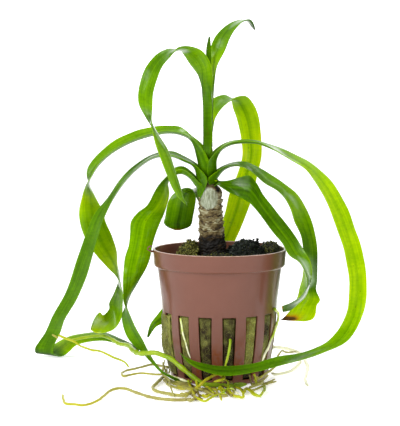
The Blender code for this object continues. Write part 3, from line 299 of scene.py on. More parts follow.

# A station is, in front-view millimetres: across and up of edge a, across and up of edge b,
# depth of the middle, depth of b less depth of a, and the fold below the edges. Edge a is on
# the left when the upper face is seen with the tip ahead. A tone stop is a station, then the
# tone of the upper and of the under face: 0 is deep green, 1 is lit through. Besides the
# leaf's own green, the tones hold painted light and shade: a face is lighter where light comes
# through it and darker where it lies in shade.
leaves = {
    "spearLeaf": {
        "node": "leaf_spear", "seed": 1, "rib": (0, 0), "foot": False,
        "tone": ((0, 0.6, 0.4), (1, 0.52, 0.4), (2, 0.4, 0.35), (3, 0.28, 0.3), (4, 0.4, 0.3),
                 (6, 0.28, 0.28)),
        "stations": (
            (-5, 95.2, -4.6, 95.2, 1.4, 1.1, 0.1), (-5, 110.2, -4.6, 110.2, 1.5, 1.1, 0.1),
            (-4.8, 120.5, -4.2, 120.5, 1.8, 1.2, 0.1), (-5.5, 128.4, -3.6, 128.4, 1.3, 1, 0.3),
            (-5.5, 135, -3.6, 135, 1.2, 1, 0.3), (-5, 137.9, -3.7, 137.9, 1.3, 0.6, 0.2),
            (-4.5, 140, -4, 140, 1.3, 0.2, 0),
        ),
    },
    "topRightLeaf": {
        "node": "leaf_top_right", "seed": 2, "rib": (-0.08, -0.05), "foot": False,
        "sheen": ((0, 0.1), (6, 0.15), (7, 0.8), (8, 1.3), (11, 1.2), (12, 0.6)),
        "tone": ((0, 0.45, 0.4), (1, 0.62, 0.4), (3, 0.78, 0.413), (4, 0.76, 0.42), (5, 0.62, 0.4),
                 (6, 0.5, 0.4), (9, 0.46, 0.3), (10, 0.4, 0.27), (12, 0.25, 0.2)),
        "stations": (
            (-3.5, 95, -3.2, 95, 1.7, -2, 0.2), (-3.4, 106.1, -3, 106.1, 1.7, -2, 0.2),
            (-3.3, 116.4, -2.7, 116.4, 1.9, -2.4, 0.3), (-3.3, 123.4, -2.3, 123.4, 2.4, -3.4, 0.6),
            (-4.2, 130.9, -0.6, 129.2, 2.6, -4.5, 0.7), (-3.7, 135.2, 1.9, 134.2, 3.4, -3.5, 0.7),
            (-1.9, 139.8, 3.9, 139.1, 4.4, -2.5, 0.7), (1.2, 143.3, 5.8, 142.4, 5.4, -3, 0.6),
            (5.2, 145.9, 7.9, 144.7, 6.4, -4, 0.4), (9.7, 147, 9.9, 146.4, 7.4, -4.2, 0.3),
            (11.6, 145.7, 12.4, 146.8, 8.4, -3, 0.2), (12.8, 144.1, 13.9, 144.9, 9.1, -2, 0.2),
            (14.1, 142.5, 14.5, 142.7, 9.7, -0.4, 0),
        ),
    },
    "centreArchLeaf": {
        "node": "leaf_centre_arch", "seed": 3, "rib": (0.05, -0.06),
        "sheen": ((0, 0.1), (7, 0.1), (8, 0.8), (10, 0.8), (11, 0.05), (15, 0.05), (16, 0.8), (17, 1.2),
                  (18, 1.2), (19, 0.7), (20, 0.5), (23, 0.5)),
        "tone": ((0, 0.4, 0.38), (1, 0.4, 0.35), (2, 0.4, 0.46), (3, 0.4, 0.41), (5, 0.5, 0.65),
                 (7, 0.5, 0.65), (9, 0.46, 0.52), (10, 0.44, 0.5), (13, 0.47, 0.5), (15, 0.56, 0.5),
                 (16, 0.42, 0.49), (17, 0.46, 0.48), (18, 0.4, 0.7), (19, 0.4, 0.68), (20, 0.4, 0.6),
                 (23, 0.4, 0.62)),
        "stations": (
            (-3.4, 94.8, -4.4, 94.8, -1.9, 3.6, 2.7), (-3.4, 101.9, -4.4, 101.9, -1.9, 3.6, 2.7),
            (-3.3, 110.2, -4.4, 110.2, -1.9, 3.7, 2.8), (-3.1, 117.6, -5.4, 117.9, -2.1, 4, 2.9),
            (-2.9, 122.2, -8.3, 123.3, -2.8, 4.8, 2), (-3.5, 128.4, -10.3, 126.3, -5, 3.8, 1.2),
            (-5.6, 132.5, -12.2, 129, -7.5, 3.2, 0.9), (-8.7, 135.1, -14.1, 132.1, -10, 4.2, 0.8),
            (-12.2, 136, -15.7, 134.2, -12.5, 6.4, 0.7), (-17.2, 135.3, -17.2, 134.6, -14.5, 7.8, 0.5),
            (-20.1, 132.1, -21.1, 135, -16, 7, 0.6), (-23.4, 128, -25.4, 133.1, -17.5, 5.6, 0.7),
            (-25.4, 123.4, -29.4, 128.6, -19, 4.6, 0.7), (-26.5, 119.7, -31.6, 123.6, -20, 4.5, 0.7),
            (-27.4, 115.2, -33, 117.2, -21, 5, 0.7), (-27.7, 111, -32.9, 112.3, -21.7, 5.6, 0.7),
            (-27.9, 106.9, -30.6, 107.7, -22.2, 7, 0.6), (-28, 103.4, -27.6, 103.6, -22.5, 7.8, 0.5),
            (-26.7, 97.8, -24.2, 99, -22.5, 7, 0.6), (-24.6, 91.6, -20.7, 92.8, -22, 6.3, 0.7),
            (-21.9, 84.1, -17.9, 84.8, -21, 5.8, 0.7), (-19, 77.3, -15.9, 77.9, -19.5, 4.5, 0.5),
            (-16.1, 73.2, -14.7, 73.8, -18, 2.5, 0.3), (-13.6, 71.2, -13.3, 71.5, -17.2, 0.4, 0),
        ),
    },
    "rightBackLeaf": {
        "node": "leaf_right_back", "seed": 4, "rib": (-0.05, -0.22),
        "tone": ((0, 0.6, 0.5), (1, 0.92, 0.6), (2, 0.92, 0.6), (3, 0.58, 0.6), (4, 0.5, 0.65),
                 (6, 0.6, 0.74), (7, 0.6, 0.84), (9, 0.6, 0.98), (11, 0.6, 0.96), (14, 0.6, 0.98),
                 (15, 0.5, 0.7), (16, 0.483, 0.72), (18, 0.45, 0.55), (19, 0.4, 0.6), (20, 0.35, 0.4)),
        "stations": (
            (-6.2, 92, -2.7, 92, 4.3, -1, 1), (-5.6, 99.9, -4.2, 99.9, 5.4, -3.5, 1.6),
            (-4.8, 109.4, -2.7, 105.7, 7.5, -4.5, 1.9), (-3.5, 113.9, 0.6, 110.8, 10.5, -5.5, 1.9),
            (-0.2, 116, 4.3, 114.1, 14, -5.5, 1.7), (3.1, 116.2, 7.6, 115.9, 18, -5, 1.4),
            (4.8, 113.9, 11, 115.9, 21, -3.4, 1), (5.4, 111, 13.9, 112.7, 24, -2, 0.9),
            (7, 106.5, 15.9, 107.7, 26.5, -1, 0.9), (8.7, 99, 17, 99.9, 29, -1, 0.9),
            (9.3, 91.6, 17.2, 91.6, 31, -2, 0.9), (7.4, 84.1, 15.7, 84.6, 32.5, -2, 0.9),
            (4.1, 75.9, 13.6, 75, 33.6, -2, 0.9), (2.3, 68, 10.5, 66, 34.3, -2, 0.9),
            (-0.6, 59.7, 6.8, 57.3, 34.7, -2, 0.8), (-4.8, 52.3, 2.3, 48.6, 34.5, -1.5, 0.8),
            (-11, 44, -5.2, 39.5, 33.5, -1, 0.7), (-17.6, 35.8, -12.6, 30.4, 31, -1, 0.7),
            (-25.2, 26.3, -22.1, 22.5, 27, -1.5, 0.5), (-28.5, 21.7, -26.1, 20.5, 25.5, -1.5, 0.3),
            (-30, 16.3, -29.2, 16.1, 24.5, -0.4, 0),
        ),
    },
    "leftBackLeaf": {
        "node": "leaf_left_back", "seed": 5, "rib": (-0.04, -0.14),
        "sheen": ((0, 0.05), (1, 0.1), (2, 0.9), (3, 0.8), (4, 0.3), (8, 0.05), (9, 0.9), (10, 1.1),
                  (11, 0.3), (12, 0.05), (15, 0.05), (16, 0.5), (17, 1), (18, 0.8), (20, 0.4), (22, 1.1),
                  (24, 1.4)),
        "tone": ((0, 0.6, 0.42), (1, 0.6, 0.42), (3, 0.58, 0.45), (4, 0.5, 0.5), (5, 0.6, 0.5),
                 (8, 0.56, 0.55), (9, 0.5, 0.55), (10, 0.5, 0.52), (11, 0.45, 0.92), (12, 0.45, 0.84),
                 (13, 0.45, 0.6), (14, 0.45, 0.68), (15, 0.45, 0.86), (16, 0.45, 0.95), (17, 0.45, 0.62),
                 (18, 0.56, 0.5), (19, 0.54, 0.5), (21, 0.68, 0.6), (22, 0.9, 0.6), (23, 0.95, 0.6),
                 (24, 0.9, 0.6)),
        "stations": (
            (-3.9, 87.6, -3.9, 88.6, -0.9, 7.2, 4.6), (-6.6, 93.9, -6.4, 94.9, 0.6, 7.4, 3.6),
            (-10.9, 98.4, -10.7, 99.4, 3, 7.6, 1.4), (-15.1, 100.7, -15.1, 102.8, 5, 7.5, 1.7),
            (-20.9, 101.9, -20.5, 103.9, 8, 7.5, 2.1), (-28.3, 100.7, -28.7, 103.2, 13, 7.2, 2.4),
            (-36.6, 97.8, -37.8, 100.5, 18, 7.2, 2.4), (-44.5, 93.2, -46.1, 95.7, 22, 7.4, 2.1),
            (-50, 87.9, -51.7, 90.3, 25, 7.6, 1.7), (-52.7, 82.9, -54.4, 85, 27, 8, 1),
            (-54.6, 79.6, -53.8, 80, 28, 8.8, 0.5), (-56.6, 74.2, -51.5, 75, 29, 7.4, 0.8),
            (-57.7, 68.8, -48.6, 69.7, 30, 4.6, 1), (-57.1, 62.6, -46.8, 63.9, 31, 2.4, 1),
            (-54.8, 56.4, -44.4, 58.5, 32, 2.4, 1), (-50.7, 50.2, -42.6, 52.3, 33, 5.6, 0.9),
            (-46.1, 45.3, -42, 46.5, 33.5, 8.4, 0.7), (-42.4, 41.4, -41.6, 41.4, 34, 9.3, 0.5),
            (-40.3, 35.8, -43.6, 34.9, 34, 8.4, 0.7), (-40.1, 29.6, -45.7, 30.4, 33.5, 6.4, 0.9),
            (-40.7, 24.2, -45.7, 28.1, 32.5, 4.6, 1), (-43.6, 19.6, -46.9, 26.3, 31, 3, 1),
            (-47.8, 18, -48.2, 25.4, 29.5, 1, 1.2), (-51.3, 18, -49, 26.3, 28, 0, 1.2),
            (-53.5, 19.4, -49.6, 26.7, 26.8, -1, 0.9),
        ),
    },
    "leftLongLeaf": {
        "node": "leaf_left_long", "seed": 6, "rib": (0, -0.08),
        "footStation": (-8, 73.4, -6.6, 73.9, -1.4, 1.6, 0.4),
        "sheen": ((0, 0.05), (1, 0.1), (3, 0.4), (4, 0.3), (5, 1), (7, 1.1), (8, 0.4), (9, -0.4),
                  (17, -0.4), (18, 0.3), (19, 0.6), (20, 0.6), (21, 0.2)),
        "tone": ((0, 0.48, 0.38), (1, 0.62, 0.4), (2, 0.46, 0.4), (4, 0.48, 0.4), (5, 0.34, 0.36),
                 (6, 0.34, 0.36), (7, 0.42, 0.36), (9, 0.41, 0.36), (13, 0.44, 0.34), (17, 0.38, 0.34),
                 (18, 0.16, 0.34), (19, 0.3, 0.38), (20, 0.4, 0.8), (21, 0.4, 0.78), (24, 0.4, 0.36),
                 (26, 0.35, 0.2)),
        "stations": (
            (-5, 81.6, -5, 82.8, -1.6, 7.4, 4.4), (-7, 85, -6.8, 86.2, -1, 7.4, 3.2),
            (-10.3, 87.8, -9.9, 88.8, 0.4, 7, 1.1), (-14.3, 89.7, -14.3, 91.1, 1, 7.5, 1),
            (-20.1, 91.6, -20.1, 93.2, 2.5, 8, 1), (-27.1, 90.8, -27.9, 92, 4.5, 8.2, 0.9),
            (-33.3, 86.8, -34.5, 87.9, 7, 8.2, 0.9), (-38.7, 81.3, -40.7, 81.5, 9.5, 8, 0.9),
            (-43.2, 75, -46.1, 74.2, 12, 7.8, 0.9), (-47.1, 66.4, -51.3, 67.4, 14.5, 7.5, 0.9),
            (-50, 57.7, -55.2, 58.7, 17.5, 7, 0.9), (-52.7, 49, -58.3, 50, 20.5, 6.8, 0.9),
            (-55.4, 40.3, -61, 41.8, 24, 6.6, 0.8), (-59.1, 31.8, -64.7, 32.9, 28, 6.4, 0.8),
            (-63.9, 23.8, -69.3, 24.4, 32.5, 6.2, 0.7), (-66, 18, -72.4, 18, 37, 5.4, 0.6),
            (-68.4, 13, -75.2, 13.8, 39.8, 5, 0.5), (-68.9, 9.8, -76.5, 11.4, 41.2, 4.4, 0.4),
            (-67.4, 8.3, -75.8, 9.4, 42.8, 5.4, 0.3), (-65, 8.2, -71.4, 10.6, 44, 7, 0.3),
            (-62.4, 9.9, -67.2, 13.9, 44.6, 7, 0.4), (-59.3, 12.8, -61.8, 17, 44.8, 7, 0.6),
            (-53.5, 14.4, -54.4, 18.2, 44.4, 7, 0.7), (-47.3, 14.5, -47.8, 18, 43.2, 6.4, 0.7),
            (-41.1, 12.8, -41.6, 15.7, 41.2, 5.6, 0.6), (-36.6, 11.6, -36.6, 13.4, 39.2, 3.4, 0.4),
            (-33.3, 10.5, -33.3, 11, 38, 0.6, 0),
        ),
    },
    "leftBroadLeaf": {
        "node": "leaf_left_broad", "seed": 7, "rib": (0.04, 0.12),
        "flank": ((4, 0), (4.6, 0.24), (7.2, 0.24), (8, 0)),
        "sheen": ((0, 0.05), (1, 0.1), (2, 0.8), (3, 0.4), (4, 0.1), (5, 0.6), (6, 0.3), (7, 0), (14, 0),
                  (15, 0.2), (16, 0.9), (17, -0.2), (18, -0.5), (21, -0.3), (25, 0.3)),
        "tone": ((0, 0.43, 0.4), (2, 0.46, 0.42), (3, 0.41, 0.45), (4, 0.64, 0.5), (5, 0.5, 0.54),
                 (7, 0.4, 0.75), (8, 0.4, 0.54), (10, 0.42, 0.56), (12, 0.42, 0.6), (15, 0.4, 0.5),
                 (17, 0.39, 0.45), (18, 0.45, 0.42), (19, 0.46, 0.4), (20, 0.46, 0.4), (21, 0.5, 0.4),
                 (22, 0.46, 0.4), (23, 0.28, 0.3), (25, 0.24, 0.26)),
        "stations": (
            (-6.4, 79.1, -6.4, 80.1, -0.6, 6.4, 3), (-8.5, 80.6, -8.1, 81.4, -1, 6.4, 2.2),
            (-11, 83.1, -11, 84.5, -1.2, 7, 1.8), (-15.1, 85.8, -15.1, 87.1, -0.4, 7.5, 2.2),
            (-19.6, 84.8, -19.6, 85.8, 0.2, 8, 1.9), (-23.4, 81.3, -21.4, 81.5, 0.5, 9, 1.2),
            (-26.7, 76.7, -20.7, 76.5, 0.8, 8, 1), (-30.2, 70.9, -21.5, 71.7, 1, 6.2, 1),
            (-33.7, 68, -22.9, 67.4, 0.6, 3, 1), (-36.4, 64.3, -24.8, 63.1, 0, 0, 1),
            (-36.8, 59.3, -26.7, 58.1, -0.5, 0, 1), (-37.4, 54.4, -27.9, 53.5, -1, 0, 1),
            (-38.9, 49.8, -28.6, 49.4, -1.2, 0, 1), (-39.5, 44.9, -30.2, 45.1, -1.5, 1, 0.9),
            (-39.7, 39.9, -33.1, 39.9, -2, 5.5, 0.8), (-39.9, 34.9, -36, 34.9, -2.5, 7.4, 0.6),
            (-39.5, 30.4, -38.2, 30.4, -3, 8, 0.5), (-37.2, 25.8, -40.3, 25.4, -3.5, 7, 0.6),
            (-34.9, 20.9, -39.5, 19.8, -4, 5.6, 0.7), (-31.8, 15.5, -37, 14.5, -5, 4.2, 0.7),
            (-29, 9.9, -31.9, 9.7, -7, 2.6, 0.6), (-26.3, 5.4, -28, 5.4, -10.5, 1.8, 0.4),
            (-22.9, 1.7, -24, 1.4, -14, 1.4, 0.3), (-16.9, -1.2, -18, -2, -18.2, 1, 0.2),
            (-12.6, -3.2, -13.2, -3.8, -20.9, 0.8, 0.1), (-10.1, -4.4, -10.3, -4.7, -23.2, 0.4, 0),
        ),
    },
    "leftCutLeaf": {
        "node": "leaf_left_cut", "seed": 8, "rib": (-0.05, -0.22), "dying": (8.4, 10.6),
        "sheen": ((0, 0.8), (3, 0.2), (4, 0.5), (5, 0.05)),
        "tone": ((0, 0.3, 0.34), (3, 0.4, 0.46), (4, 0.4, 0.6), (6, 0.4, 0.5), (7, 0.4, 0.4),
                 (10, 0.4, 0.4)),
        "stations": (
            (-10.3, 76.3, -8.9, 76.9, 5.2, 3.4, 0.6), (-11.8, 77.7, -9.3, 78.2, 9, 3.2, 0.7),
            (-14.7, 77.9, -9.9, 78, 12, 1.6, 0.8), (-18, 76.5, -9.7, 76.5, 13, 0, 0.8),
            (-20.5, 73.8, -9.7, 73.8, 13, 0, 0.9), (-21.7, 70.1, -10.3, 69.7, 13, 0, 0.9),
            (-22.3, 66.4, -11, 66, 12.8, 0, 0.9), (-22.9, 63.7, -11.5, 63.4, 12.6, 0, 0.8),
            (-21.8, 62.4, -12.4, 62.2, 12.5, 0, 0.6), (-20.2, 61.5, -14.2, 61.4, 12.4, 0, 0.4),
            (-18.3, 60.8, -16.4, 60.8, 12.3, 0, 0.2),
        ),
    },
    "rightLongLeaf": {
        "node": "leaf_right_long", "seed": 9, "rib": (-0.12, -0.06),
        "sheen": ((0, 0.05), (2, 1.3), (3, 1), (4, 0), (5, -0.2), (6, 0.95), (7, 0.9), (8, 0.4), (9, 0),
                  (18, 0), (19, 0.5), (20, 0.3), (21, 0.2), (22, 0.05)),
        "tone": ((0, 0.43, 0.34), (2, 0.62, 0.42), (4, 0.44, 0.42), (6, 0.55, 0.5), (8, 0.81, 0.55),
                 (9, 0.85, 0.6), (10, 0.84, 0.6), (11, 0.89, 0.6), (13, 0.9, 0.6), (15, 0.87, 0.6),
                 (16, 0.82, 0.6), (17, 0.68, 0.55), (19, 0.55, 0.45), (20, 0.44, 0.4), (21, 0.46, 0.4),
                 (22, 0.38, 0.36), (23, 0.33, 0.36), (24, 0.4, 0.35), (26, 0.58, 0.3), (27, 0.58, 0.3)),
        "stations": (
            (-4.9, 87.8, -4.9, 86.6, -1.5, -7.2, 3.4), (-3.3, 92, -3.5, 90.6, -1.5, -7.2, 2.4),
            (-0.2, 95.2, 0, 94.5, -1, -7, 1.3), (3.9, 97.4, 4.1, 96.8, -2, -7.5, 1.1),
            (9.7, 98.1, 9.7, 97.5, -3.5, -8, 0.9), (16.3, 97.5, 15.9, 96.8, -5, -8.3, 0.7),
            (23.4, 95.3, 21.7, 94.3, -7, -8.3, 0.7), (31.2, 92, 28.3, 90.1, -9, -8, 0.7),
            (37.4, 88.7, 34.9, 86.2, -11.5, -8, 0.7), (43.2, 83.9, 39.1, 80.8, -13.5, -7.5, 0.7),
            (48.2, 77.3, 43, 74.2, -15.5, -7, 0.7), (52.3, 70.1, 46.1, 67.6, -17.5, -6.5, 0.7),
            (55.8, 61.4, 49, 59.7, -19.5, -6, 0.7), (58.7, 52.3, 51.5, 51.5, -21.5, -5.5, 0.7),
            (60.4, 42.4, 53.3, 42, -23.5, -5, 0.7), (60.6, 33.3, 53.5, 33.7, -25.5, -4, 0.7),
            (59.1, 25.4, 52.5, 26.7, -27.5, -2, 0.7), (55.8, 18.4, 49.6, 20.3, -29, 1, 0.7),
            (51.1, 13.4, 44.9, 14.7, -30.5, 4, 0.7), (42, 9.5, 40.3, 12, -31.5, 6.5, 0.7),
            (33.7, 6.8, 32.9, 9.6, -32.5, 7, 0.7), (24.6, 4.2, 23.8, 8.1, -33, 7, 0.7),
            (14.7, 1.9, 13.9, 5.5, -33, 7, 0.7), (5.2, 0.5, 4.8, 4.4, -32.5, 7, 0.7),
            (-2.7, 1.2, -3.5, 4.8, -31.5, 6.4, 0.6), (-8.9, 3.3, -9.9, 6.2, -30.5, 5, 0.5),
            (-13, 6, -14.1, 8.1, -29.5, 3, 0.3), (-16.1, 9.5, -16.5, 9.9, -29, 0.5, 0),
        ),
    },
    "rightMiddleLeaf": {
        "node": "leaf_right_middle", "seed": 10, "rib": (0, 0), "dying": (19.2, 20.9), "dyingSide": 0.9,
        "footDrop": 2.6, "flank": ((10, 0), (11, -0.12), (12, 0), (12.5, 0.28), (15, 0.28), (16, 0)),
        "sheen": ((0, 0), (1, 0), (2, 0.3), (3, 0.5), (4, -0.1), (5, 0.9), (6, 0.5), (7, 0.5), (8, 1.15),
                  (9, 0.95), (10, 0.1), (12, -0.2), (13, 0.9), (14, 1.5), (15, 0.9), (16, 0)),
        "tone": ((0, 0.86, 0.36), (1, 0.92, 0.38), (2, 0.36, 0.38), (4, 0.4, 0.38), (5, 0.52, 0.38),
                 (7, 0.56, 0.38), (8, 0.68, 0.38), (9, 0.72, 0.38), (10, 0.57, 0.38), (11, 0.49, 0.38),
                 (12, 0.38, 0.4), (12.6, 0.5, 0.5), (13, 0.58, 0.508), (14, 0.6, 0.529), (15, 0.52, 0.55),
                 (16, 0.82, 0.7), (18, 0.83, 0.7), (19, 0.92, 0.7), (20, 0.98, 0.7), (22, 1, 0.66)),
        "stations": (
            (-4.5, 83.4, -4.5, 82.2, -2, -7.4, 3.7), (-2.5, 85.2, -2.5, 83.9, -1.8, -7.2, 2.5),
            (1.2, 87.4, 1.4, 86.6, -1.3, -7, 1.2), (5.6, 88.7, 5.6, 88, -1.7, -7.5, 0.9),
            (10.5, 88.8, 9.9, 87.2, -2.2, -7.5, 0.8), (15.9, 86.6, 13.9, 84.6, -3, -7.5, 0.8),
            (21.3, 83.2, 18.8, 80.4, -3.7, -7.3, 0.8), (26.7, 79.6, 24, 77.1, -4.2, -7.2, 0.8),
            (31.6, 75.7, 27.3, 73.4, -4.6, -6.5, 0.6), (34.9, 70.9, 29.2, 69.5, -4.8, -5.5, 0.6),
            (37.8, 64.7, 30.8, 64.3, -4.8, -4, 0.8), (39.5, 57.7, 33.5, 58.5, -4.6, -5, 0.8),
            (40.3, 51.5, 34.5, 52.3, -4.2, -5, 0.8), (40.5, 45.3, 34.7, 46.1, -3.8, -4.5, 0.8),
            (40.3, 39.5, 34.1, 40.7, -3.4, -4, 0.8), (40, 36, 33.1, 37, -3.2, -2.6, 0.7),
            (41.5, 32.4, 32.3, 33.4, -3, -1.2, 0.5), (41.5, 31.2, 31.6, 31.8, -3, -0.8, 0.5),
            (40.3, 29.8, 30.8, 30.2, -3, -0.4, 0.5), (40, 27.6, 29.6, 28, -3, 0, 0.4),
            (39.6, 25.4, 27.6, 25.6, -3, 0.3, 0.3), (38.2, 23.5, 26, 24, -3, 0.3, 0.3),
            (35, 22.8, 24.8, 23.5, -3, 0.2, 0.1),
        ),
    },
    "rightFrontLeaf": {
        "node": "leaf_right_front", "seed": 11, "rib": (0.1, 0), "dying": (19.2, 20.2), "dyingSide": 1,
        "sheen": ((0, 0.05), (2, 0.05), (3, 0.35), (4, 0.1), (5, 0), (9, 0.05), (10, 0.6), (11, 1.6),
                  (12, 1.4), (14, 1.3), (15, 1), (16, 1.2), (17, 1.1), (18, 0.6), (19, 0.2), (20, 0.1)),
        "footDrop": 1.2,
        "tone": ((0, 0.42, 0.32), (1, 0.44, 0.33), (2, 0.36, 0.34), (3, 0.31, 0.34), (5, 0.31, 0.34),
                 (6, 0.36, 0.35), (7, 0.36, 0.36), (9, 0.42, 0.36), (10, 0.54, 0.36), (11, 0.64, 0.36),
                 (12, 0.64, 0.36), (14, 0.42, 0.36), (15, 0.34, 0.353), (17, 0.29, 0.34),
                 (18, 0.27, 0.327), (20, 0.35, 0.3)),
        "stations": (
            (-0.9, 81.4, -0.9, 79.9, -2.8, -4.2, 0.6), (0.6, 81.3, 0.8, 78.8, -4, -4.5, 0.8),
            (3.9, 81.5, 3.9, 76.5, -5.5, -4.5, 1), (8.5, 82.7, 7.6, 74.8, -7, -4, 1.2),
            (12.2, 83.4, 11, 73, -8.5, -3.5, 1.2), (15.3, 80.2, 12.8, 71.7, -9.7, -3.5, 1),
            (18, 75.3, 15.7, 68.4, -11, -4, 0.9), (22.5, 69.5, 18.6, 64.7, -12.5, -5, 0.9),
            (26.9, 64.1, 22.3, 59.8, -14, -5, 0.9), (31.2, 58.3, 25.8, 55.4, -15.3, -5, 0.9),
            (34.5, 52.7, 28.7, 50.4, -16.3, -4.8, 0.9), (37.2, 47.3, 32.9, 47.3, -17, -5.6, 0.8),
            (38, 41.9, 35.7, 41.9, -17.5, -6.2, 0.5), (37.6, 39.2, 36.5, 39.1, -17.8, -6.2, 0.4),
            (37, 37, 36, 36.8, -18, -6, 0.3), (35.7, 33.5, 34.6, 34.2, -18.3, -5.4, 0.3),
            (33.9, 31.3, 32.9, 32.4, -18.4, -4.8, 0.3), (32.2, 29.9, 31.2, 31.5, -18.4, -4.2, 0.3),
            (29.7, 27.9, 28.9, 30.4, -18.3, -3.6, 0.4), (27.6, 27.2, 27.1, 29.9, -18.1, -3.2, 0.3),
            (26.1, 27, 25.6, 29.3, -18, -2.8, 0.2),
        ),
    },
}


def leafPiece(name, leaf, material):
    # A sheet between two edge curves, bowed towards its under side by fold * (1 - t^2) at t from
    # -1 to 1 across; each face lies half the thickness off it, and the ring runs over the upper
    # face from edge a to edge b and back over the under face.
    stations = [list(station) for station in leaf["stations"]]
    crown = leafShape["crown"]
    foot = list(stations[0])
    for i in (0, 2):
        foot[i] = crown + (foot[i] - crown) * leafShape["footShare"]
        foot[i + 1] -= leaf.get("footDrop", leafShape["footDrop"])
    foot[4] *= leafShape["footShare"]
    foot[5] *= leafShape["footShare"]
    foot = leaf.get("footStation", foot)
    if leaf.get("foot", True):
        stations = [foot] + stations
    rows = []
    for acrossA, upA, acrossB, upB, depth, step, fold in stations:
        edgeA = fromFrontView(acrossA, upA, depth - step / 2)
        edgeB = fromFrontView(acrossB, upB, depth + step / 2)
        rows.append((*edgeA, *edgeB, fold))
    rows, along = smoothPath(rows, leafShape["spacing"])
    edgeA, edgeB, fold = rows[:, 0:3], rows[:, 3:6], rows[:, 6]
    station = rows[:, 7] - (1 if leaf.get("foot", True) else 0)

    t = np.sin(np.linspace(-0.5, 0.5, leafShape["columns"]) * np.pi)
    middle = (edgeA + edgeB) / 2
    ahead = np.gradient(middle, axis=0)
    under = np.cross(ahead, edgeB - edgeA)
    under /= np.linalg.norm(under, axis=1)[:, None]
    halfWidth = np.linalg.norm(edgeB - edgeA, axis=1) / 2
    bow = fold[:, None] * (1 - t**2)[None, :]
    sheet = middle[:, None] + t[None, :, None] * (edgeB - edgeA)[:, None] / 2
    sheet = sheet + under[:, None] * bow[..., None]
    wave = ripple(sheet, leafShape["waveSize"], seed=leaf["seed"])
    sheet += under[:, None] * (wave * leafShape["waveHeight"] * (0.3 + t**2))[..., None]

    lengthwise = np.gradient(sheet, axis=0)
    crosswise = np.gradient(sheet, axis=1)
    normal = np.cross(lengthwise, crosswise)
    normal /= np.maximum(np.linalg.norm(normal, axis=2), 1e-9)[..., None]
    thick = leafShape["edge"] + (leafShape["middle"] - leafShape["edge"]) * (1 - np.abs(t)**2.5)
    taper = np.clip(halfWidth / leafShape["fullAt"], 0.35, 1.0)
    half = (normal * (thick[None, :] * taper[:, None])[..., None]) / 2
    rings = np.concatenate([sheet - half, (sheet + half)[:, ::-1]], axis=1)

    # what the material reads: place in millimetres, tone from the two faces' stops, midrib and rim;
    # the material paints the rim lighter, as if lit from behind
    tAround = np.concatenate([t, t[::-1]])
    sideAround = np.concatenate([np.ones_like(t), np.zeros_like(t)])
    # painted light and shade: the tone stops make each face lighter where lit through, darker in shade
    stops = np.array(leaf["tone"], dtype=float)
    upper = np.interp(station, stops[:, 0], stops[:, 1])[:, None]
    lower = np.interp(station, stops[:, 0], stops[:, 2])[:, None]
    # flank: painted light across the leaf, one edge lighter and the other darker
    flank = np.array(leaf.get("flank", ((0, 0),)), dtype=float)
    flank = np.interp(station, flank[:, 0], flank[:, 1])[:, None]
    tone = lower + (upper - lower) * sideAround[None, :] + flank * tAround[None, :]
    sheen = np.array(leaf.get("sheen", ((0, 0.05),)), dtype=float)
    sheen = np.interp(station, sheen[:, 0], sheen[:, 1])[:, None] * (1 - 0.6 * np.abs(tAround))[None, :]
    place = np.zeros((*rings.shape[:2], 3))
    place[..., 0] = tAround[None, :] * halfWidth[:, None]
    place[..., 1] = along[:, None] + leaf["seed"] * 61.0
    place[..., 2] = sideAround[None, :]
    nearRib = np.exp(-(place[..., 0] / leafShape["ribHalfWidth"])**2)
    ribUpper, ribUnder = leaf["rib"]
    rib = nearRib * (ribUnder + (ribUpper - ribUnder) * sideAround[None, :])
    rim = np.repeat((np.abs(tAround)**14)[None, :], len(rings), axis=0)
    dyingFrom, dyingTo = leaf.get("dying", (900, 901))  # past the tip where a leaf is whole
    dying = np.clip((station - dyingFrom) / (dyingTo - dyingFrom), 0, 1)
    sideways = np.clip(0.6 + 1.2 * leaf.get("dyingSide", 0) * tAround, 0, 1)
    dying = dying[:, None] * (sideways if "dyingSide" in leaf else np.ones_like(tAround))[None, :]
    values = {"place": place, "tone": tone, "rib": rib, "rim": rim, "dying": dying, "sheen": sheen}
    values = {key: value[None] for key, value in values.items()}
    piece = tubes(name, rings[None], values, material)
    settle(piece, [leaf["node"]])


leafSurface = leafMaterial(leafTissue)
for leafName, leaf in leaves.items():
    leafPiece(leafName, leaf, leafSurface)
print("leaves made:", len(leaves))


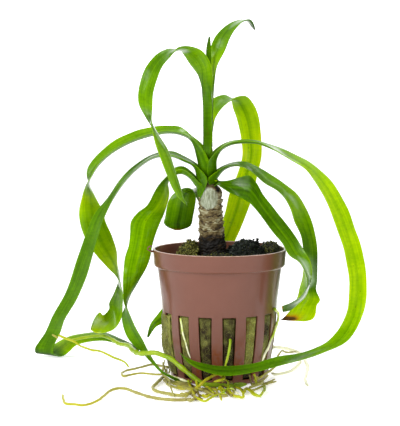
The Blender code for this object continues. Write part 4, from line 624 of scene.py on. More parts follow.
# Pot
# injection-moulded polypropylene, brown and slightly see-through at its edges: a soft even gloss.
# Its colour also holds a painted highlight on the rim's lip and a painted reflection along its
# side edges
potPlastic = {
    "colour": "#6f4335", "deep": "#5f3727", "inside": "#6e4230", "lip": "#d9b8a6", "rust": "#6a3208",
    "paintedEdgeReflection": "#51550c", "roughness": 0.34, "coat": 0.3, "coatRoughness": 0.2, "gloss": 0.2,
    "cloudSize": 14.0, "blotchSize": 1.6, "grainSize": 0.7, "reliefMm": 0.02,
}
potShape = {
    "bandLow": 46.3, "bodyTop": 25.6, "base": 20.0, "wall": 1.1, "floor": 1.3, "bow": 0.8,
    "slots": 15, "firstSlot": 8.9, "slotLow": 2.0, "slotTop": 28.0, "slotTopWidth": 5.6,
    "slotLowWidth": 4.3, "drains": 8, "drainRadius": 2.2, "drainRing": 12.5,
    # corners of the profile as radius and height: the base's edge, the rim band above bandLow,
    # the rim, and the inside of the rim
    "foot": ((17, 0), (19, 0), (19.5, 0.06), (19.85, 0.3), (20, 0.7)),
    "band": ((25.6, -0.25), (25.75, -0.05), (26.5, 0), (26.75, 0.1), (26.95, 0.4), (27.02, 1.2),
             (27.15, 3.2), (27.3, 5), (27.42, 6.2)),
    "rim": ((27.5, 53), (27.45, 53.2), (27.25, 53.3), (26.8, 53.3), (26.6, 53.2)),
    "rimInside": ((26.5, 52.9), (26.3, 51), (26, 48.6)),
    "sharp": 38, "bevel": 0.14, "bevelAngle": 50,  # degrees, millimetres, degrees
}
# rusty stains that roots left on the bars: angle from the front toward the right, height, reach
rustMarks = ((-3, 8, 4.2, 8.5), (21, 8, 4.2, 9), (-27, 5, 2, 3.5), (44, 7, 2.4, 4), (33, 3, 3, 3))
rustRadius = 21.5


def potMaterial(look):
    material, shader, add = startMaterial("mouldedBrownPolypropylene", look["roughness"], look["coat"],
                                          look["coatRoughness"], look["gloss"])
    solid = add("ShaderNodeTexCoord").outputs["Object"]
    cloud, blotches, grain = (
        add("ShaderNodeTexNoise", {"Vector": solid, "Scale": 1 / (look[size] * mm), "Detail": detail})
        for size, detail in (("cloudSize", 3.0), ("blotchSize", 3.0), ("grainSize", 2.0)))
    inner, lip, rust, paintedEdgeReflection = (add("ShaderNodeAttribute", attribute_name=key).outputs["Fac"]
                              for key in ("inner", "lip", "rust", "paintedEdgeReflection"))
    # painted highlight: the rim's lip is made paler in patches
    paintedLipHighlight = add("ShaderNodeMath", {0: lip, 1: blotches}, operation="MULTIPLY")
    blots = add("ShaderNodeMapRange", {"Value": blotches, "From Min": 0.35, "From Max": 0.6})
    stained = add("ShaderNodeMath", {0: rust, 1: blots}, operation="MULTIPLY")
    tint = toLinear(look["colour"])
    # the olive mix near the side edges is a painted reflection; the clouds and rust are the plastic's own
    for factor, key in ((cloud, "deep"), (inner, "inside"), (paintedLipHighlight, "lip"), (stained, "rust"),
                        (paintedEdgeReflection, "paintedEdgeReflection")):
        tint = add("ShaderNodeMix", {"Factor": factor, "A": tint, "B": toLinear(look[key])},
                   data_type="RGBA")
    bump = add("ShaderNodeBump", {"Height": grain, "Strength": 0.35, "Distance": look["reliefMm"] * mm})
    fillInputs(shader, {"Base Color": tint, "Normal": bump})
    return material


def roundAxis(radius, angle, up):
    # points about the pot's axis: the angle runs from the front toward the right
    return np.stack(np.broadcast_arrays(radius * np.sin(angle), -radius * np.cos(angle), up), axis=-1)


def potWallRadius(up):
    # a straight taper, and the bars between the slots bow outward a little
    share = up / potShape["bandLow"]
    taper = potShape["base"] + (potShape["bodyTop"] - potShape["base"]) * share
    return taper + potShape["bow"] * np.sin(np.pi * np.clip((up - 3) / 29, 0, 1)) ** 1.2


def potStainsAndReflections(points):
    # rust: a round soft spot at each mark. The painted edge reflection: it starts at 47 and 66
    # degrees on the right and at 76 on the left, ends behind, and is thinner below.
    turn = np.degrees(np.arctan2(points[:, 0], -points[:, 1]))
    paintedEdgeReflection = 0.5 * np.clip((turn - 47) / 7, 0, 1) + 0.45 * np.clip((turn - 66) / 8, 0, 1)
    paintedEdgeReflection = paintedEdgeReflection * np.clip((120 - turn) / 26, 0, 1)
    paintedEdgeReflection = paintedEdgeReflection + 0.5 * np.clip((-turn - 76) / 8, 0, 1) * (turn > -110)
    paintedEdgeReflection = paintedEdgeReflection * np.clip(0.5 + (points[:, 2] - 24) / 8, 0.5, 1)
    rust = np.zeros(len(points))
    for turn, height, width, tall in rustMarks:
        place = rustRadius * np.array([math.sin(math.radians(turn)), -math.cos(math.radians(turn))])
        away = np.linalg.norm(points[:, 0:2] - place, axis=1) / width
        rust += 1.25 * np.exp(-away**2 - ((points[:, 2] - height) / tall)**2)
    return rust, paintedEdgeReflection


def potPiece():
    # A closed profile is turned about the axis: under the base, up the outside, over the rim, down
    # the inside and over the floor. Each slot's and drain's cells are left out of both skins, and
    # quads through the wall join the two edges of the opening.
    shape = potShape
    low, top = shape["slotLow"], shape["slotTop"]
    band = shape["bandLow"]
    wallRows = np.concatenate([[1.4], np.linspace(low, top, 9), np.linspace(top + 2, band - 0.8, 8)])
    ring = shape["drainRing"]
    drainRows = [ring + shape["drainRadius"] * step for step in (-1, -0.5, 0, 0.5, 1)]
    outer = [(r, 0.0) for r in (0.3, 4.0, 7.5, *drainRows)]
    outer += shape["foot"]
    firstWall = len(outer)
    outer += [(potWallRadius(up), up) for up in wallRows]
    outer += [(r, band + rise) for r, rise in shape["band"]] + list(shape["rim"])
    inner = [*shape["rimInside"], (25.6, band + 1.2), (25.0, band + 0.3)]
    secondWall = len(outer) + len(inner)
    inner += [(potWallRadius(up) - shape["wall"], up) for up in wallRows[::-1]]
    inner += [(r, shape["floor"]) for r in (18.6, 17.0)]
    secondBase = len(outer) + len(inner)
    inner += [(r, shape["floor"]) for r in (*drainRows[::-1], 7.5, 4.0, 0.3)]
    profile = np.array(outer + inner)
    radius, up = profile[:, 0:1], profile[:, 1:2]

    # eight columns to a slot's pitch: four over the slot, four over the bar beside it
    pitch = 360 / shape["slots"]
    share = np.clip((up - low) / (top - low), 0, 1)
    width = shape["slotLowWidth"] + (shape["slotTopWidth"] - shape["slotLowWidth"]) * share
    half = np.degrees(width / 2 / np.maximum(radius, 18.0))
    number = np.arange(shape["slots"] * 8)
    within = number % 8
    across = np.where(within < 4, within / 2 - 1, 0)[None, :]
    beyond = np.where(within >= 4, (within - 4) / 4, 0)[None, :]
    turned = across * half + np.where(within[None, :] >= 4, half + beyond * (pitch - 2 * half), 0)
    even = (within * 3 - 6)[None, :]
    flat = radius < 19.2
    angle = np.radians(shape["firstSlot"] + (number // 8)[None, :] * pitch + np.where(flat, even, turned))
    points = roundAxis(radius, angle, up)
    rows, columns = angle.shape

    # openings: their cells are left out of the outer and of the inner skin
    keep = np.ones((rows, columns), dtype=bool)
    grid = np.arange(rows * columns).reshape(rows, columns)
    joins = []

    def around(rowFrom, rowTo, columnFrom, columnTo):
        # rows and columns met on the way round a block of cells: along, up, back and down
        rowSteps = [rowFrom] * (columnTo - columnFrom) + list(range(rowFrom, rowTo))
        rowSteps += [rowTo] * (columnTo - columnFrom) + list(range(rowTo, rowFrom, -1))
        columnSteps = list(range(columnFrom, columnTo)) + [columnTo] * (rowTo - rowFrom)
        columnSteps += list(range(columnTo, columnFrom, -1)) + [columnFrom] * (rowTo - rowFrom)
        return np.array(rowSteps), np.array(columnSteps) % columns

    def cutOpening(rowFrom, rowTo, mirrorSum, columnFrom, columnTo):
        rowIds, columnIds = around(rowFrom, rowTo, columnFrom, columnTo)
        outside = grid[rowIds, columnIds]
        inside = grid[mirrorSum - rowIds, columnIds]
        joins.append(np.stack([outside, np.roll(outside, -1), np.roll(inside, -1), inside], axis=-1))
        cells = np.arange(columnFrom, columnTo) % columns
        keep[np.ix_(range(rowFrom, rowTo), cells)] = False
        keep[np.ix_(range(mirrorSum - rowTo, mirrorSum - rowFrom), cells)] = False
        return rowIds, columnIds

    slotRow = firstWall + 1
    for slot in range(shape["slots"]):
        cutOpening(slotRow, slotRow + 8, firstWall + secondWall + len(wallRows) - 1, slot * 8, slot * 8 + 4)
    # drains: the ring of points round each block of cells is moved onto a circle
    drainRow = 3
    for drain in range(shape["drains"]):
        first = drain * columns // shape["drains"]
        rowIds, columnIds = cutOpening(drainRow, drainRow + 4, drainRow + 4 + secondBase, first, first + 6)
        centre = angle[drainRow, (first + 3) % columns]
        middle = ring * np.array([math.sin(centre), -math.cos(centre)])
        for rowSet in (rowIds, drainRow + 4 + secondBase - rowIds):
            away = points[rowSet, columnIds, 0:2] - middle
            away /= np.linalg.norm(away, axis=1)[:, None]
            points[rowSet, columnIds, 0:2] = middle + away * shape["drainRadius"]

    onward = np.roll(grid, -1, axis=1)
    quads = np.stack([grid[:-1], onward[:-1], onward[1:], grid[1:]], axis=-1)
    quads = quads[keep[:-1]]
    quads = np.concatenate([quads, *joins])
    poles = np.array([[0.0, 0.0, 0.0], [0.0, 0.0, shape["floor"]]])
    firstPole = rows * columns
    fans = [np.stack([np.full(columns, firstPole), onward[0], grid[0]], axis=-1),
            np.stack([np.full(columns, firstPole + 1), grid[-1], onward[-1]], axis=-1)]
    insideRow = np.zeros((rows, columns))
    insideRow[len(outer):] = 1.0
    whole = np.concatenate([points.reshape(-1, 3), poles])
    # painted highlight along the top of the rim
    lip = np.clip((whole[:, 2] - 53.0) / 0.25, 0, 1)
    rust, paintedEdgeReflection = potStainsAndReflections(whole)
    values = {"inner": np.concatenate([insideRow.ravel(), [0.0, 1.0]]), "lip": lip, "rust": rust,
              "paintedEdgeReflection": paintedEdgeReflection}
    piece = buildMesh("brownSlottedPot", whole, quads, np.concatenate(fans), values,
                      potMaterial(potPlastic))
    piece.data.set_sharp_from_angle(angle=math.radians(shape["sharp"]))
    bevel = piece.modifiers.new("moulded edges", "BEVEL")
    bevel.width = shape["bevel"] * mm
    bevel.segments = 2
    bevel.limit_method = "ANGLE"
    bevel.angle_limit = math.radians(shape["bevelAngle"])
    settle(piece, ["pot"])
    return piece


pot = potPiece()

# the torn strip of plastic on the rim
rimStrip = {
    "points": ((-26.4, -2.5, 51.9), (-27.6, -4, 52.5), (-28.8, -5, 53), (-29.4, -5.2, 53.6),
               (-29.3, -5, 54.2), (-28.6, -5, 54.6), (-27.8, -5, 54.9)),
    "radius": 0.42, "narrowing": 0.4, "unevenness": 0.25,
}


def rimStripPiece():
    path, along = smoothPath(rimStrip["points"], 0.3, edges=1)
    uneven = 1 + rimStrip["unevenness"] * ripple(path[:, 0:3], 1.5, seed=3)
    radii = rimStrip["radius"] * uneven * (1 - rimStrip["narrowing"] * along / along[-1])
    rings = roundRings(path[:, 0:3], radii, 12)
    blank = np.zeros((1, *rings.shape[:2]))
    values = {"inner": blank, "lip": blank, "rust": blank, "paintedEdgeReflection": blank}
    piece = tubes("tornRimStrip", rings[None], values, pot.data.materials[0])
    settle(piece, [])


rimStripPiece()
print("pot made")


# Wool plug
# mineral wool, spun and matted: fine fibres without gloss, olive with algae, dark and rusty where
# roots grow through
wool = {"pale": "#989a4c", "colour": "#72742f", "dark": "#423b10", "rust": "#5c3a0c", "top": "#261c03",
        "roughness": 0.75, "patchSize": 5.5, "fibreSize": 0.5, "reliefMm": 0.25}
plugShape = {"clearance": 0.35, "top": 47.0, "socketX": -2.6, "socket": 6.2, "socketFloor": 32.7,
             "bulge": 1.3, "bumpSize": 2.6, "bump": 0.2}


def woolMaterial(look):
    material, shader, add = startMaterial("mattedMineralWool", look["roughness"], 0.05, 0.3, 0.2)
    solid = add("ShaderNodeTexCoord").outputs["Object"]
    stretch = add("ShaderNodeMapping", {"Vector": solid, "Scale": (1.0, 1.0, 0.75)})
    patches, fibres = (
        add("ShaderNodeTexNoise", {"Vector": vector, "Scale": 1 / (look[size] * mm), "Detail": detail,
                                   "Roughness": 0.72})
        for vector, size, detail in ((solid, "patchSize", 4.0), (stretch, "fibreSize", 3.0)))
    ramp = add("ShaderNodeValToRGB", {0: patches})
    fillRamp(ramp, ((0.18, look["dark"]), (0.31, look["rust"]), (0.46, look["colour"]),
                    (0.70, look["pale"])))
    stain = add("ShaderNodeAttribute", attribute_name="stain").outputs["Fac"]
    mixed = add("ShaderNodeMix", {"Factor": stain, "A": ramp, "B": toLinear(look["top"])}, data_type="RGBA")
    shade = add("ShaderNodeMapRange", {"Value": fibres, "From Min": 0.3, "From Max": 0.7,
                                       "To Min": 0.5, "To Max": 1.5})
    lit = add("ShaderNodeVectorMath", {0: mixed, "Scale": shade}, operation="SCALE")
    bump = add("ShaderNodeBump", {"Height": fibres, "Strength": 0.8, "Distance": look["reliefMm"] * mm})
    fillInputs(shader, {"Base Color": lit, "Normal": bump})
    return material


def slotPlace(angle, up):
    # how far inside a slot of the pot wall a point is: 1 in its middle, 0 on the bars and beyond
    pitch = 360 / potShape["slots"]
    offAxis = (np.degrees(angle) - potShape["firstSlot"] + pitch / 2) % pitch - pitch / 2
    offset = np.radians(np.abs(offAxis)) * potWallRadius(up)
    share = np.clip((up - potShape["slotLow"]) / (potShape["slotTop"] - potShape["slotLow"]), 0, 1)
    half = (potShape["slotLowWidth"] + (potShape["slotTopWidth"] - potShape["slotLowWidth"]) * share) / 2
    sideways = np.clip((half - 0.14 - offset) / 0.4, 0, 1)
    upright = np.clip((up - potShape["slotLow"] - 0.15) / 0.6, 0, 1)
    upright = upright * np.clip((potShape["slotTop"] - 0.15 - up) / 0.6, 0, 1)
    return sideways * upright


def plugRadius(angle, up):
    # the wool's side follows the pot wall and swells a little into each slot
    base = potWallRadius(up) - potShape["wall"] - plugShape["clearance"]
    spot = roundAxis(base, angle, up)
    bumps = ripple(spot, plugShape["bumpSize"], seed=11) + 0.5 * ripple(spot, 1.1, seed=12)
    swell = slotPlace(angle, up)
    bulge = plugShape["bulge"] + plugShape["bump"] * bumps
    return base - 0.25 + 0.1 * bumps * (1 - swell) + swell * bulge


def plugPiece():
    # turned surface: bottom, side swelling into the slots, top, then the socket that holds the stem
    columns = 480
    angle = np.linspace(0, 2 * np.pi, columns, endpoint=False)[None, :]
    low, top = 1.65, plugShape["top"]
    side = np.linspace(low + 0.6, top - 0.6, 96)[:, None]
    sideRadius = plugRadius(angle, side)
    circle = roundAxis(1, angle, 0)[0, :, 0:2]
    sideRows = roundAxis(sideRadius, angle, side)
    bottomShare = np.array([0.05, 0.4, 0.7, 0.9, 0.98])[:, None, None]
    bottomRows = sideRows[0:1] * bottomShare
    bottomRows[..., 2] = low
    share = np.linspace(0.01, 1, 34)[:, None, None]
    socketRing = circle * plugShape["socket"] + [plugShape["socketX"], 0]
    topRows = (circle * sideRadius[-1][:, None])[None] * (1 - share) + socketRing[None] * share
    spot = np.concatenate([topRows, np.full((*topRows.shape[:2], 1), top)], axis=-1)
    height = top - 0.5 * np.exp(-share[..., 0] * 40) - 0.35 + 0.25 * ripple(spot, 3.0, seed=21)
    topRows = np.concatenate([topRows, np.minimum(height, top)[..., None]], axis=-1)
    socketUp = np.linspace(top - 1.2, plugShape["socketFloor"], 8)[:, None, None]
    socketRows = np.concatenate([np.repeat(socketRing[None], 8, axis=0),
                                 np.repeat(socketUp, columns, axis=1)], axis=-1)
    floorShare = np.array([0.6, 0.1])[:, None, None]
    centre = np.array([plugShape["socketX"], 0, plugShape["socketFloor"]])
    floorRows = centre + (socketRows[-1:] - centre) * floorShare
    rings = np.concatenate([bottomRows, sideRows, topRows, socketRows, floorRows])
    up = rings[..., 2]
    stain = 0.12 * np.ones(up.shape)
    stain[len(bottomRows) + len(sideRows):] = 0.8
    stain += 0.75 * np.exp(-((up - 3) / 3.5)**2)
    spotAngle = np.degrees(np.arctan2(rings[..., 0], -rings[..., 1]))
    for where, height, width, tall, amount in stains:
        stain += amount * np.exp(-((spotAngle - where) / width)**2 - ((up - height) / tall)**2)
    stain = np.clip(stain * (1 + 0.2 * ripple(rings, 4.0, seed=31)), 0, 1)
    piece = tubes("woolPlug", rings[None], {"stain": stain[None]}, woolSurface)
    settle(piece, ["wool_plug"])


# dark stains on the wool's side: angle from the front toward the right, height, the spread of
# both, and strength
stains = ((9.8, 15, 10, 22, 1), (-14.2, 15, 10, 22, 0.85), (-38, 16, 9, 20, 0.35),
          (57, 22, 10, 6, 0.9), (81, 20, 9, 8, 0.8), (150, 20, 20, 10, 0.6), (-120, 10, 16, 8, 0.5))
woolSurface = woolMaterial(wool)
plugPiece()


fibreSteps = np.linspace(-0.5, 0.5, 7)[None, :]  # places along each fibre
fibreRadius = 23.0  # about the radius that the side's fibres lie on


def lyingFibres(count, seed):
    # fibres on the wool's side inside the slots: short arcs in angle and height on its surface
    rng = np.random.default_rng(seed)
    slot = rng.integers(0, potShape["slots"], count)
    pitch = 360 / potShape["slots"]
    middle = np.radians(potShape["firstSlot"] + slot * pitch + rng.uniform(-4.6, 4.6, count))
    height = rng.uniform(potShape["slotLow"] + 1.2, potShape["slotTop"] - 1.2, count)
    lean = rng.uniform(0, np.pi, count)
    length = rng.uniform(0.6, 2.2, count)
    t = fibreSteps
    bend = rng.normal(0, 0.25, count)[:, None]
    direction = lean[:, None] + bend * t * 2
    angle = middle[:, None] + length[:, None] * t * np.cos(direction) / fibreRadius
    up = height[:, None] + length[:, None] * t * np.sin(direction)
    up = np.clip(up, potShape["slotLow"] + 0.7, potShape["slotTop"] - 0.7)
    lift = rng.uniform(-0.02, 0.10, count)[:, None] * (1 - 3 * t**2) + 0.02
    return roundAxis(plugRadius(angle, up) + lift, angle, up)


def topFibres(count, seed):
    # loose fibres lying on the wool's top, round the stem
    rng = np.random.default_rng(seed)
    turn = rng.uniform(0, 2 * np.pi, count)
    out = np.sqrt(rng.uniform(0.12, 0.98, count)) * 22.0
    x, y = out * np.sin(turn), -out * np.cos(turn)
    keep = np.hypot(x - plugShape["socketX"], y) > 6.8
    x, y = x[keep], y[keep]
    lean = rng.uniform(0, 2 * np.pi, len(x))[:, None]
    bend = rng.normal(0, 0.8, len(x))[:, None]
    length = rng.uniform(1.0, 3.5, len(x))[:, None]
    t = fibreSteps
    direction = lean + bend * t * 2
    up = plugShape["top"] - 0.25 + rng.uniform(0.0, 0.5, len(x))[:, None] * (1 - 3 * t**2)
    return np.stack([x[:, None] + length * t * np.cos(direction),
                     y[:, None] + length * t * np.sin(direction), up + 0 * direction], axis=-1)


def thinTubes(paths, radii, sides):
    # rings round many short paths at once: two axes square to each path's chord
    ahead = np.gradient(paths, axis=1)
    ahead /= np.linalg.norm(ahead, axis=2)[..., None]
    side = np.cross(ahead, np.array([0.37, 0.29, 0.88]))
    side /= np.linalg.norm(side, axis=2)[..., None]
    up = np.cross(ahead, side)
    angle = np.linspace(0, 2 * np.pi, sides, endpoint=False)
    circle = side[:, :, None] * np.cos(angle)[:, None] + up[:, :, None] * np.sin(angle)[:, None]
    return paths[:, :, None] + circle * radii[:, :, None, None]


# single spun fibres of the wool, pale and glassy
fibreLook = {"colours": ((0.0, "#3a3616"), (0.4, "#63652f"), (0.75, "#888a4c"), (1.0, "#adae76")),
             "roughness": 0.5, "coat": 0.2, "thin": 0.02, "thick": 0.045}


def strandMaterial(name, look):
    # colour of each strand by its own value
    material, shader, add = startMaterial(name, look["roughness"], look["coat"], 0.25, 0.15)
    ramp = add("ShaderNodeValToRGB", {0: add("ShaderNodeAttribute", attribute_name="shade").outputs["Fac"]})
    fillRamp(ramp, look["colours"])
    fillInputs(shader, {"Base Color": ramp})
    return material


def fibrePiece(name, paths, seed, low, high):
    # each fibre thins towards both ends, and its shade lies between low and high
    rng = np.random.default_rng(seed)
    count, rows = paths.shape[:2]
    taper = 1 - 0.5 * np.abs(np.linspace(-1, 1, rows))**3
    radii = rng.uniform(fibreLook["thin"], fibreLook["thick"], count)[:, None] * taper
    rings = thinTubes(paths, radii, 4)
    shade = np.repeat(rng.uniform(low, high, count), rows * 4).reshape(count, rows, 4)
    piece = tubes(name, rings, {"shade": shade}, glassFibre)
    settle(piece, [])


padShape = {"left": -94, "right": -59.5, "low": 2.6, "top": 27.0, "columns": 40, "rows": 64,
            "fibres": 620}


def swollenPad():
    # matted wool that has worked out over one bar on the left: a thin pad lying on the wall,
    # thickest at its middle and lower half; returns the paths of the loose fibres on it
    left, right, columns, rows = (padShape[key] for key in ("left", "right", "columns", "rows"))
    angle = np.radians(np.linspace(left, right, columns))[None, :]
    up = np.linspace(padShape["low"], padShape["top"], rows)[:, None]
    across = np.sin(np.pi * np.linspace(0, 1, columns))[None, :]
    along = np.sin(np.pi * np.linspace(0, 1, rows))[:, None] ** 0.7
    spot = roundAxis(24, angle, up)
    bumps = ripple(spot, 3.0, seed=51) + 0.6 * ripple(spot, 1.2, seed=52)
    low = np.exp(-((up - 13.0) / 7.0)**2) * np.exp(-((np.degrees(angle) + 84) / 13)**2)
    thickness = across**0.6 * along * (0.45 + 0.10 * bumps + (0.75 + 0.2 * bumps) * low)
    thickness = np.maximum(thickness, 0.02)
    wall = potWallRadius(up) + 0.03
    outer = wall + thickness
    rings = np.concatenate([roundAxis(outer, angle, up), roundAxis(wall, angle, up)[:, ::-1]], axis=1)
    stain = np.clip(0.15 * ripple(rings, 4.0, seed=53), 0, 1)
    piece = tubes("swollenWoolPad", rings[None], {"stain": stain[None]}, woolSurface)
    settle(piece, [])
    rng = np.random.default_rng(54)
    count = padShape["fibres"]
    middle = np.radians(rng.uniform(-92, -62, count))
    height = rng.uniform(4.0, 26.0, count)
    lean = rng.normal(np.pi / 2, 1.0, count)[:, None]
    length = rng.uniform(1.5, 4.0, count)[:, None]
    t = fibreSteps
    direction = lean + rng.normal(0, 0.6, count)[:, None] * t * 2
    turn = middle[:, None] + length * t * np.cos(direction) / fibreRadius
    rise = np.clip(height[:, None] + length * t * np.sin(direction), 3.0, 26.6)
    radius = [np.interp(rise.ravel(), up[:, 0], outer[:, column]) for column in range(columns)]
    column = (np.degrees(turn) - left) / (right - left) * (columns - 1)
    column = np.clip(column, 0, columns - 1).round().astype(int).ravel()
    radius = np.array(radius)[column, np.arange(column.size)].reshape(turn.shape)
    radius = radius + 0.05 + rng.uniform(-0.02, 0.35, count)[:, None] * (1 - 3 * t**2)
    return roundAxis(radius, turn, rise)


glassFibre = strandMaterial("mineralWoolFibre", fibreLook)
fibrePiece("swollenWoolFibres", swollenPad(), 45, 0.3, 1.0)
fibrePiece("woolFibresInSlots", lyingFibres(2400, 41), 42, 0.3, 0.8)
fibrePiece("woolFibresOnTop", topFibres(600, 43), 44, 0.0, 0.45)
print("wool made")

# Moss and soil on top of the wool
# matted living moss: dull olive, yellow-green at the tips, black where it is shaded
mossLook = {"colours": ((0.0, "#0b0c04"), (0.35, "#2b2d10"), (0.65, "#56561f"), (0.9, "#807f38"),
                        (1.0, "#9c9a52")), "roughness": 0.6, "coat": 0.1}
# peat crumbs: black with a green cast and grey-green glints
soilLook = {"colours": ((0.0, "#0b0f0b"), (0.5, "#171e17"), (0.8, "#2a332a"), (1.0, "#465143")),
            "roughness": 0.5, "coat": 0.06}
# each clump is a dome: centre and reach of its foot and its height, its bumps and its shade
clumps = {
    "mossCushion": {"node": "moss_cushion", "slot": "moss", "centre": (-11.8, 2.2), "reach": (5, 6.8, 8.4),
                    "bump": 1.1, "bumpSize": 2.6, "seed": 61, "shade": 0.55},
    "soilMound": {"node": "soil_mound", "slot": "soil_crumb", "centre": (10.6, 1.6),
                  "reach": (8.5, 10.5, 8.6), "bump": 0.6, "bumpSize": 3.0, "seed": 62, "shade": 0.35},
    "mossPatch": {"node": "moss_patch", "slot": "moss", "centre": (21.2, 2.4), "reach": (4.9, 8.6, 8.7),
                  "bump": 0.5, "bumpSize": 1.8, "seed": 63, "shade": 0.25},
    "frontLitter": {"slot": "moss", "centre": (-1.6, -10.2), "reach": (11, 4.4, 5),
                    "bump": 0.7, "bumpSize": 3.0, "seed": 64, "shade": 0.25},
    "mossLump": {"slot": "moss", "centre": (-14.1, -2), "reach": (3.5, 4.7, 6.6),
                 "bump": 0.8, "bumpSize": 2.2, "seed": 65, "shade": 0.45},
}
clumpFoot = 47.3
# moss tips: on which clump, how many, seed, then the range of their radius and of their shade
tufts = {
    "mossLumpTufts": ("mossLump", 1300, 75, 0.14, 0.32, 0.2, 0.95),
    "mossCushionTufts": ("mossCushion", 2600, 71, 0.14, 0.32, 0.2, 1.0),
    "frontLitterTufts": ("frontLitter", 900, 74, 0.10, 0.24, 0.05, 0.7),
    "mossPatchTufts": ("mossPatch", 1100, 72, 0.12, 0.26, 0.0, 0.7),
    "mossOnSoil": ("soilMound", 420, 73, 0.08, 0.18, 0.1, 0.6),
}


def domePoint(clump, around, share):
    # point of a clump's dome: share 0 at its foot, 1 at its top
    x, y = clump["centre"]
    reachX, reachY, reachUp = clump["reach"]
    around, share = np.broadcast_arrays(around, share)
    out = np.cos(share * np.pi / 2)
    rise = np.sin(share * np.pi / 2)
    point = np.stack([x + reachX * out * np.cos(around), y + reachY * out * np.sin(around),
                      clumpFoot + reachUp * rise], axis=-1)
    away = np.stack([out * np.cos(around) / reachX, out * np.sin(around) / reachY, rise / reachUp], axis=-1)
    away /= np.linalg.norm(away, axis=-1)[..., None]
    bump = ripple(point, clump["bumpSize"], seed=clump["seed"]) * clump["bump"] - clump["bump"] * 0.4
    bump = bump * np.clip(share * 4, 0, 1)
    return point + away * bump[..., None], away


def scattered(rng, clump, count, lowest):
    # points spread evenly over a clump's dome, and the way that each faces
    around = rng.uniform(0, 2 * np.pi, count)
    share = np.arcsin(rng.uniform(lowest, 0.999, count)) / (np.pi / 2)
    return domePoint(clump, around, share)


def domePiece(name, clump, material):
    # flat closed bottom, then rings up the bumpy dome
    around = np.linspace(0, 2 * np.pi, 96, endpoint=False)[None, :]
    share = np.linspace(0, 0.985, 36)[:, None]
    side, _ = domePoint(clump, around, share)
    foot = side[0:1]
    centre = np.array([*clump["centre"], clumpFoot])
    bottom = centre + (foot - centre) * np.array([0.1, 0.6])[:, None, None]
    rings = np.concatenate([bottom, side])
    shade = clump["shade"] * (1 + 0.5 * ripple(rings, 1.2, seed=clump["seed"] + 9)) - 0.1
    # painted shade: each dome darkens towards its foot
    shade = shade * np.clip((rings[..., 2] - 46) / 4, 0.2, 1)
    piece = tubes(name, rings[None], {"shade": shade[None]}, material)
    settle(piece, [clump["node"]] if "node" in clump else [])


def mossStrands(clump, count, seed):
    # leafy moss tips that stand out of a dome and curl over
    rng = np.random.default_rng(seed)
    base, away = scattered(rng, clump, count, 0.05)
    lean = rng.normal(0, 0.7, (count, 3))
    direction = away + lean
    direction /= np.linalg.norm(direction, axis=1)[:, None]
    curl = rng.normal(0, 0.8, (count, 3))
    length = rng.uniform(0.35, 1.0, count)[:, None, None]
    t = np.linspace(0, 1, 6)[None, :, None]
    bent = direction[:, None] * t + curl[:, None] * 0.5 * t**2
    path = base[:, None] - 0.25 * away[:, None] + length * bent
    path[..., 2] = np.maximum(path[..., 2], 47.2)
    return path


def tuftPiece(name, clump, count, seed, thin, thick, low, high):
    paths = mossStrands(clump, count, seed)
    rng = np.random.default_rng(seed + 1)
    rows = paths.shape[1]
    taper = 1 - 0.75 * np.linspace(0, 1, rows)**2
    radii = rng.uniform(thin, thick, count)[:, None] * taper
    rings = thinTubes(paths, radii, 5)
    own = rng.uniform(low, high, count)[:, None] + 0.35 * np.linspace(-0.6, 0.6, rows)[None, :]
    # painted shade: strands low on the clumps are darker
    own = own * np.clip((paths[..., 2] - 45.5) / 5, 0.25, 1)
    shade = np.repeat(own[..., None], 5, axis=2)
    piece = tubes(name, rings, {"shade": shade}, mossSurface)
    settle(piece, [])


def crumbPiece(name, centres, sizes, seed):
    # angular crumbs: seven-sided balls squeezed and dented at random
    rows, sides = 4, 7
    rng = np.random.default_rng(seed)
    count = len(centres)
    rise = np.linspace(-0.8, 0.8, rows)[:, None]
    around = np.linspace(0, 2 * np.pi, sides, endpoint=False)
    out = np.sqrt(1 - rise**2)
    ball = np.stack(np.broadcast_arrays(out * np.cos(around), out * np.sin(around), rise), axis=-1)
    squeeze = rng.uniform(0.6, 1.3, (count, 1, 1, 3))
    dents = rng.uniform(0.75, 1.2, (count, rows, sides, 1))
    rings = centres[:, None, None] + ball[None] * squeeze * dents * sizes[:, None, None, None]
    shade = np.repeat(rng.uniform(0, 1, count)**2, rows * sides).reshape(count, rows, sides)
    piece = tubes(name, rings, {"shade": shade}, soilSurface)
    piece.data.shade_flat()
    settle(piece, [])


mossSurface = strandMaterial("mattedMoss", mossLook)
soilSurface = strandMaterial("darkPeatCrumb", soilLook)
for clumpName, clump in clumps.items():
    domePiece(clumpName + "Base", clump, mossSurface if clump["slot"] == "moss" else soilSurface)
for tuftName, (clumpName, *amounts) in tufts.items():
    tuftPiece(tuftName, clumps[clumpName], *amounts)

crumbs = {"onMound": 1500, "perPeak": 60, "onLitter": 420, "loose": 260, "small": 0.2, "large": 0.62}
crumbRng = np.random.default_rng(81)
crumbBase, crumbAway = scattered(crumbRng, clumps["soilMound"], crumbs["onMound"], 0.03)
crumbSize = crumbRng.uniform(crumbs["small"], crumbs["large"], crumbs["onMound"])
crumbPiece("soilCrumbs", crumbBase + crumbAway * (crumbSize * 0.3)[:, None], crumbSize, 82)

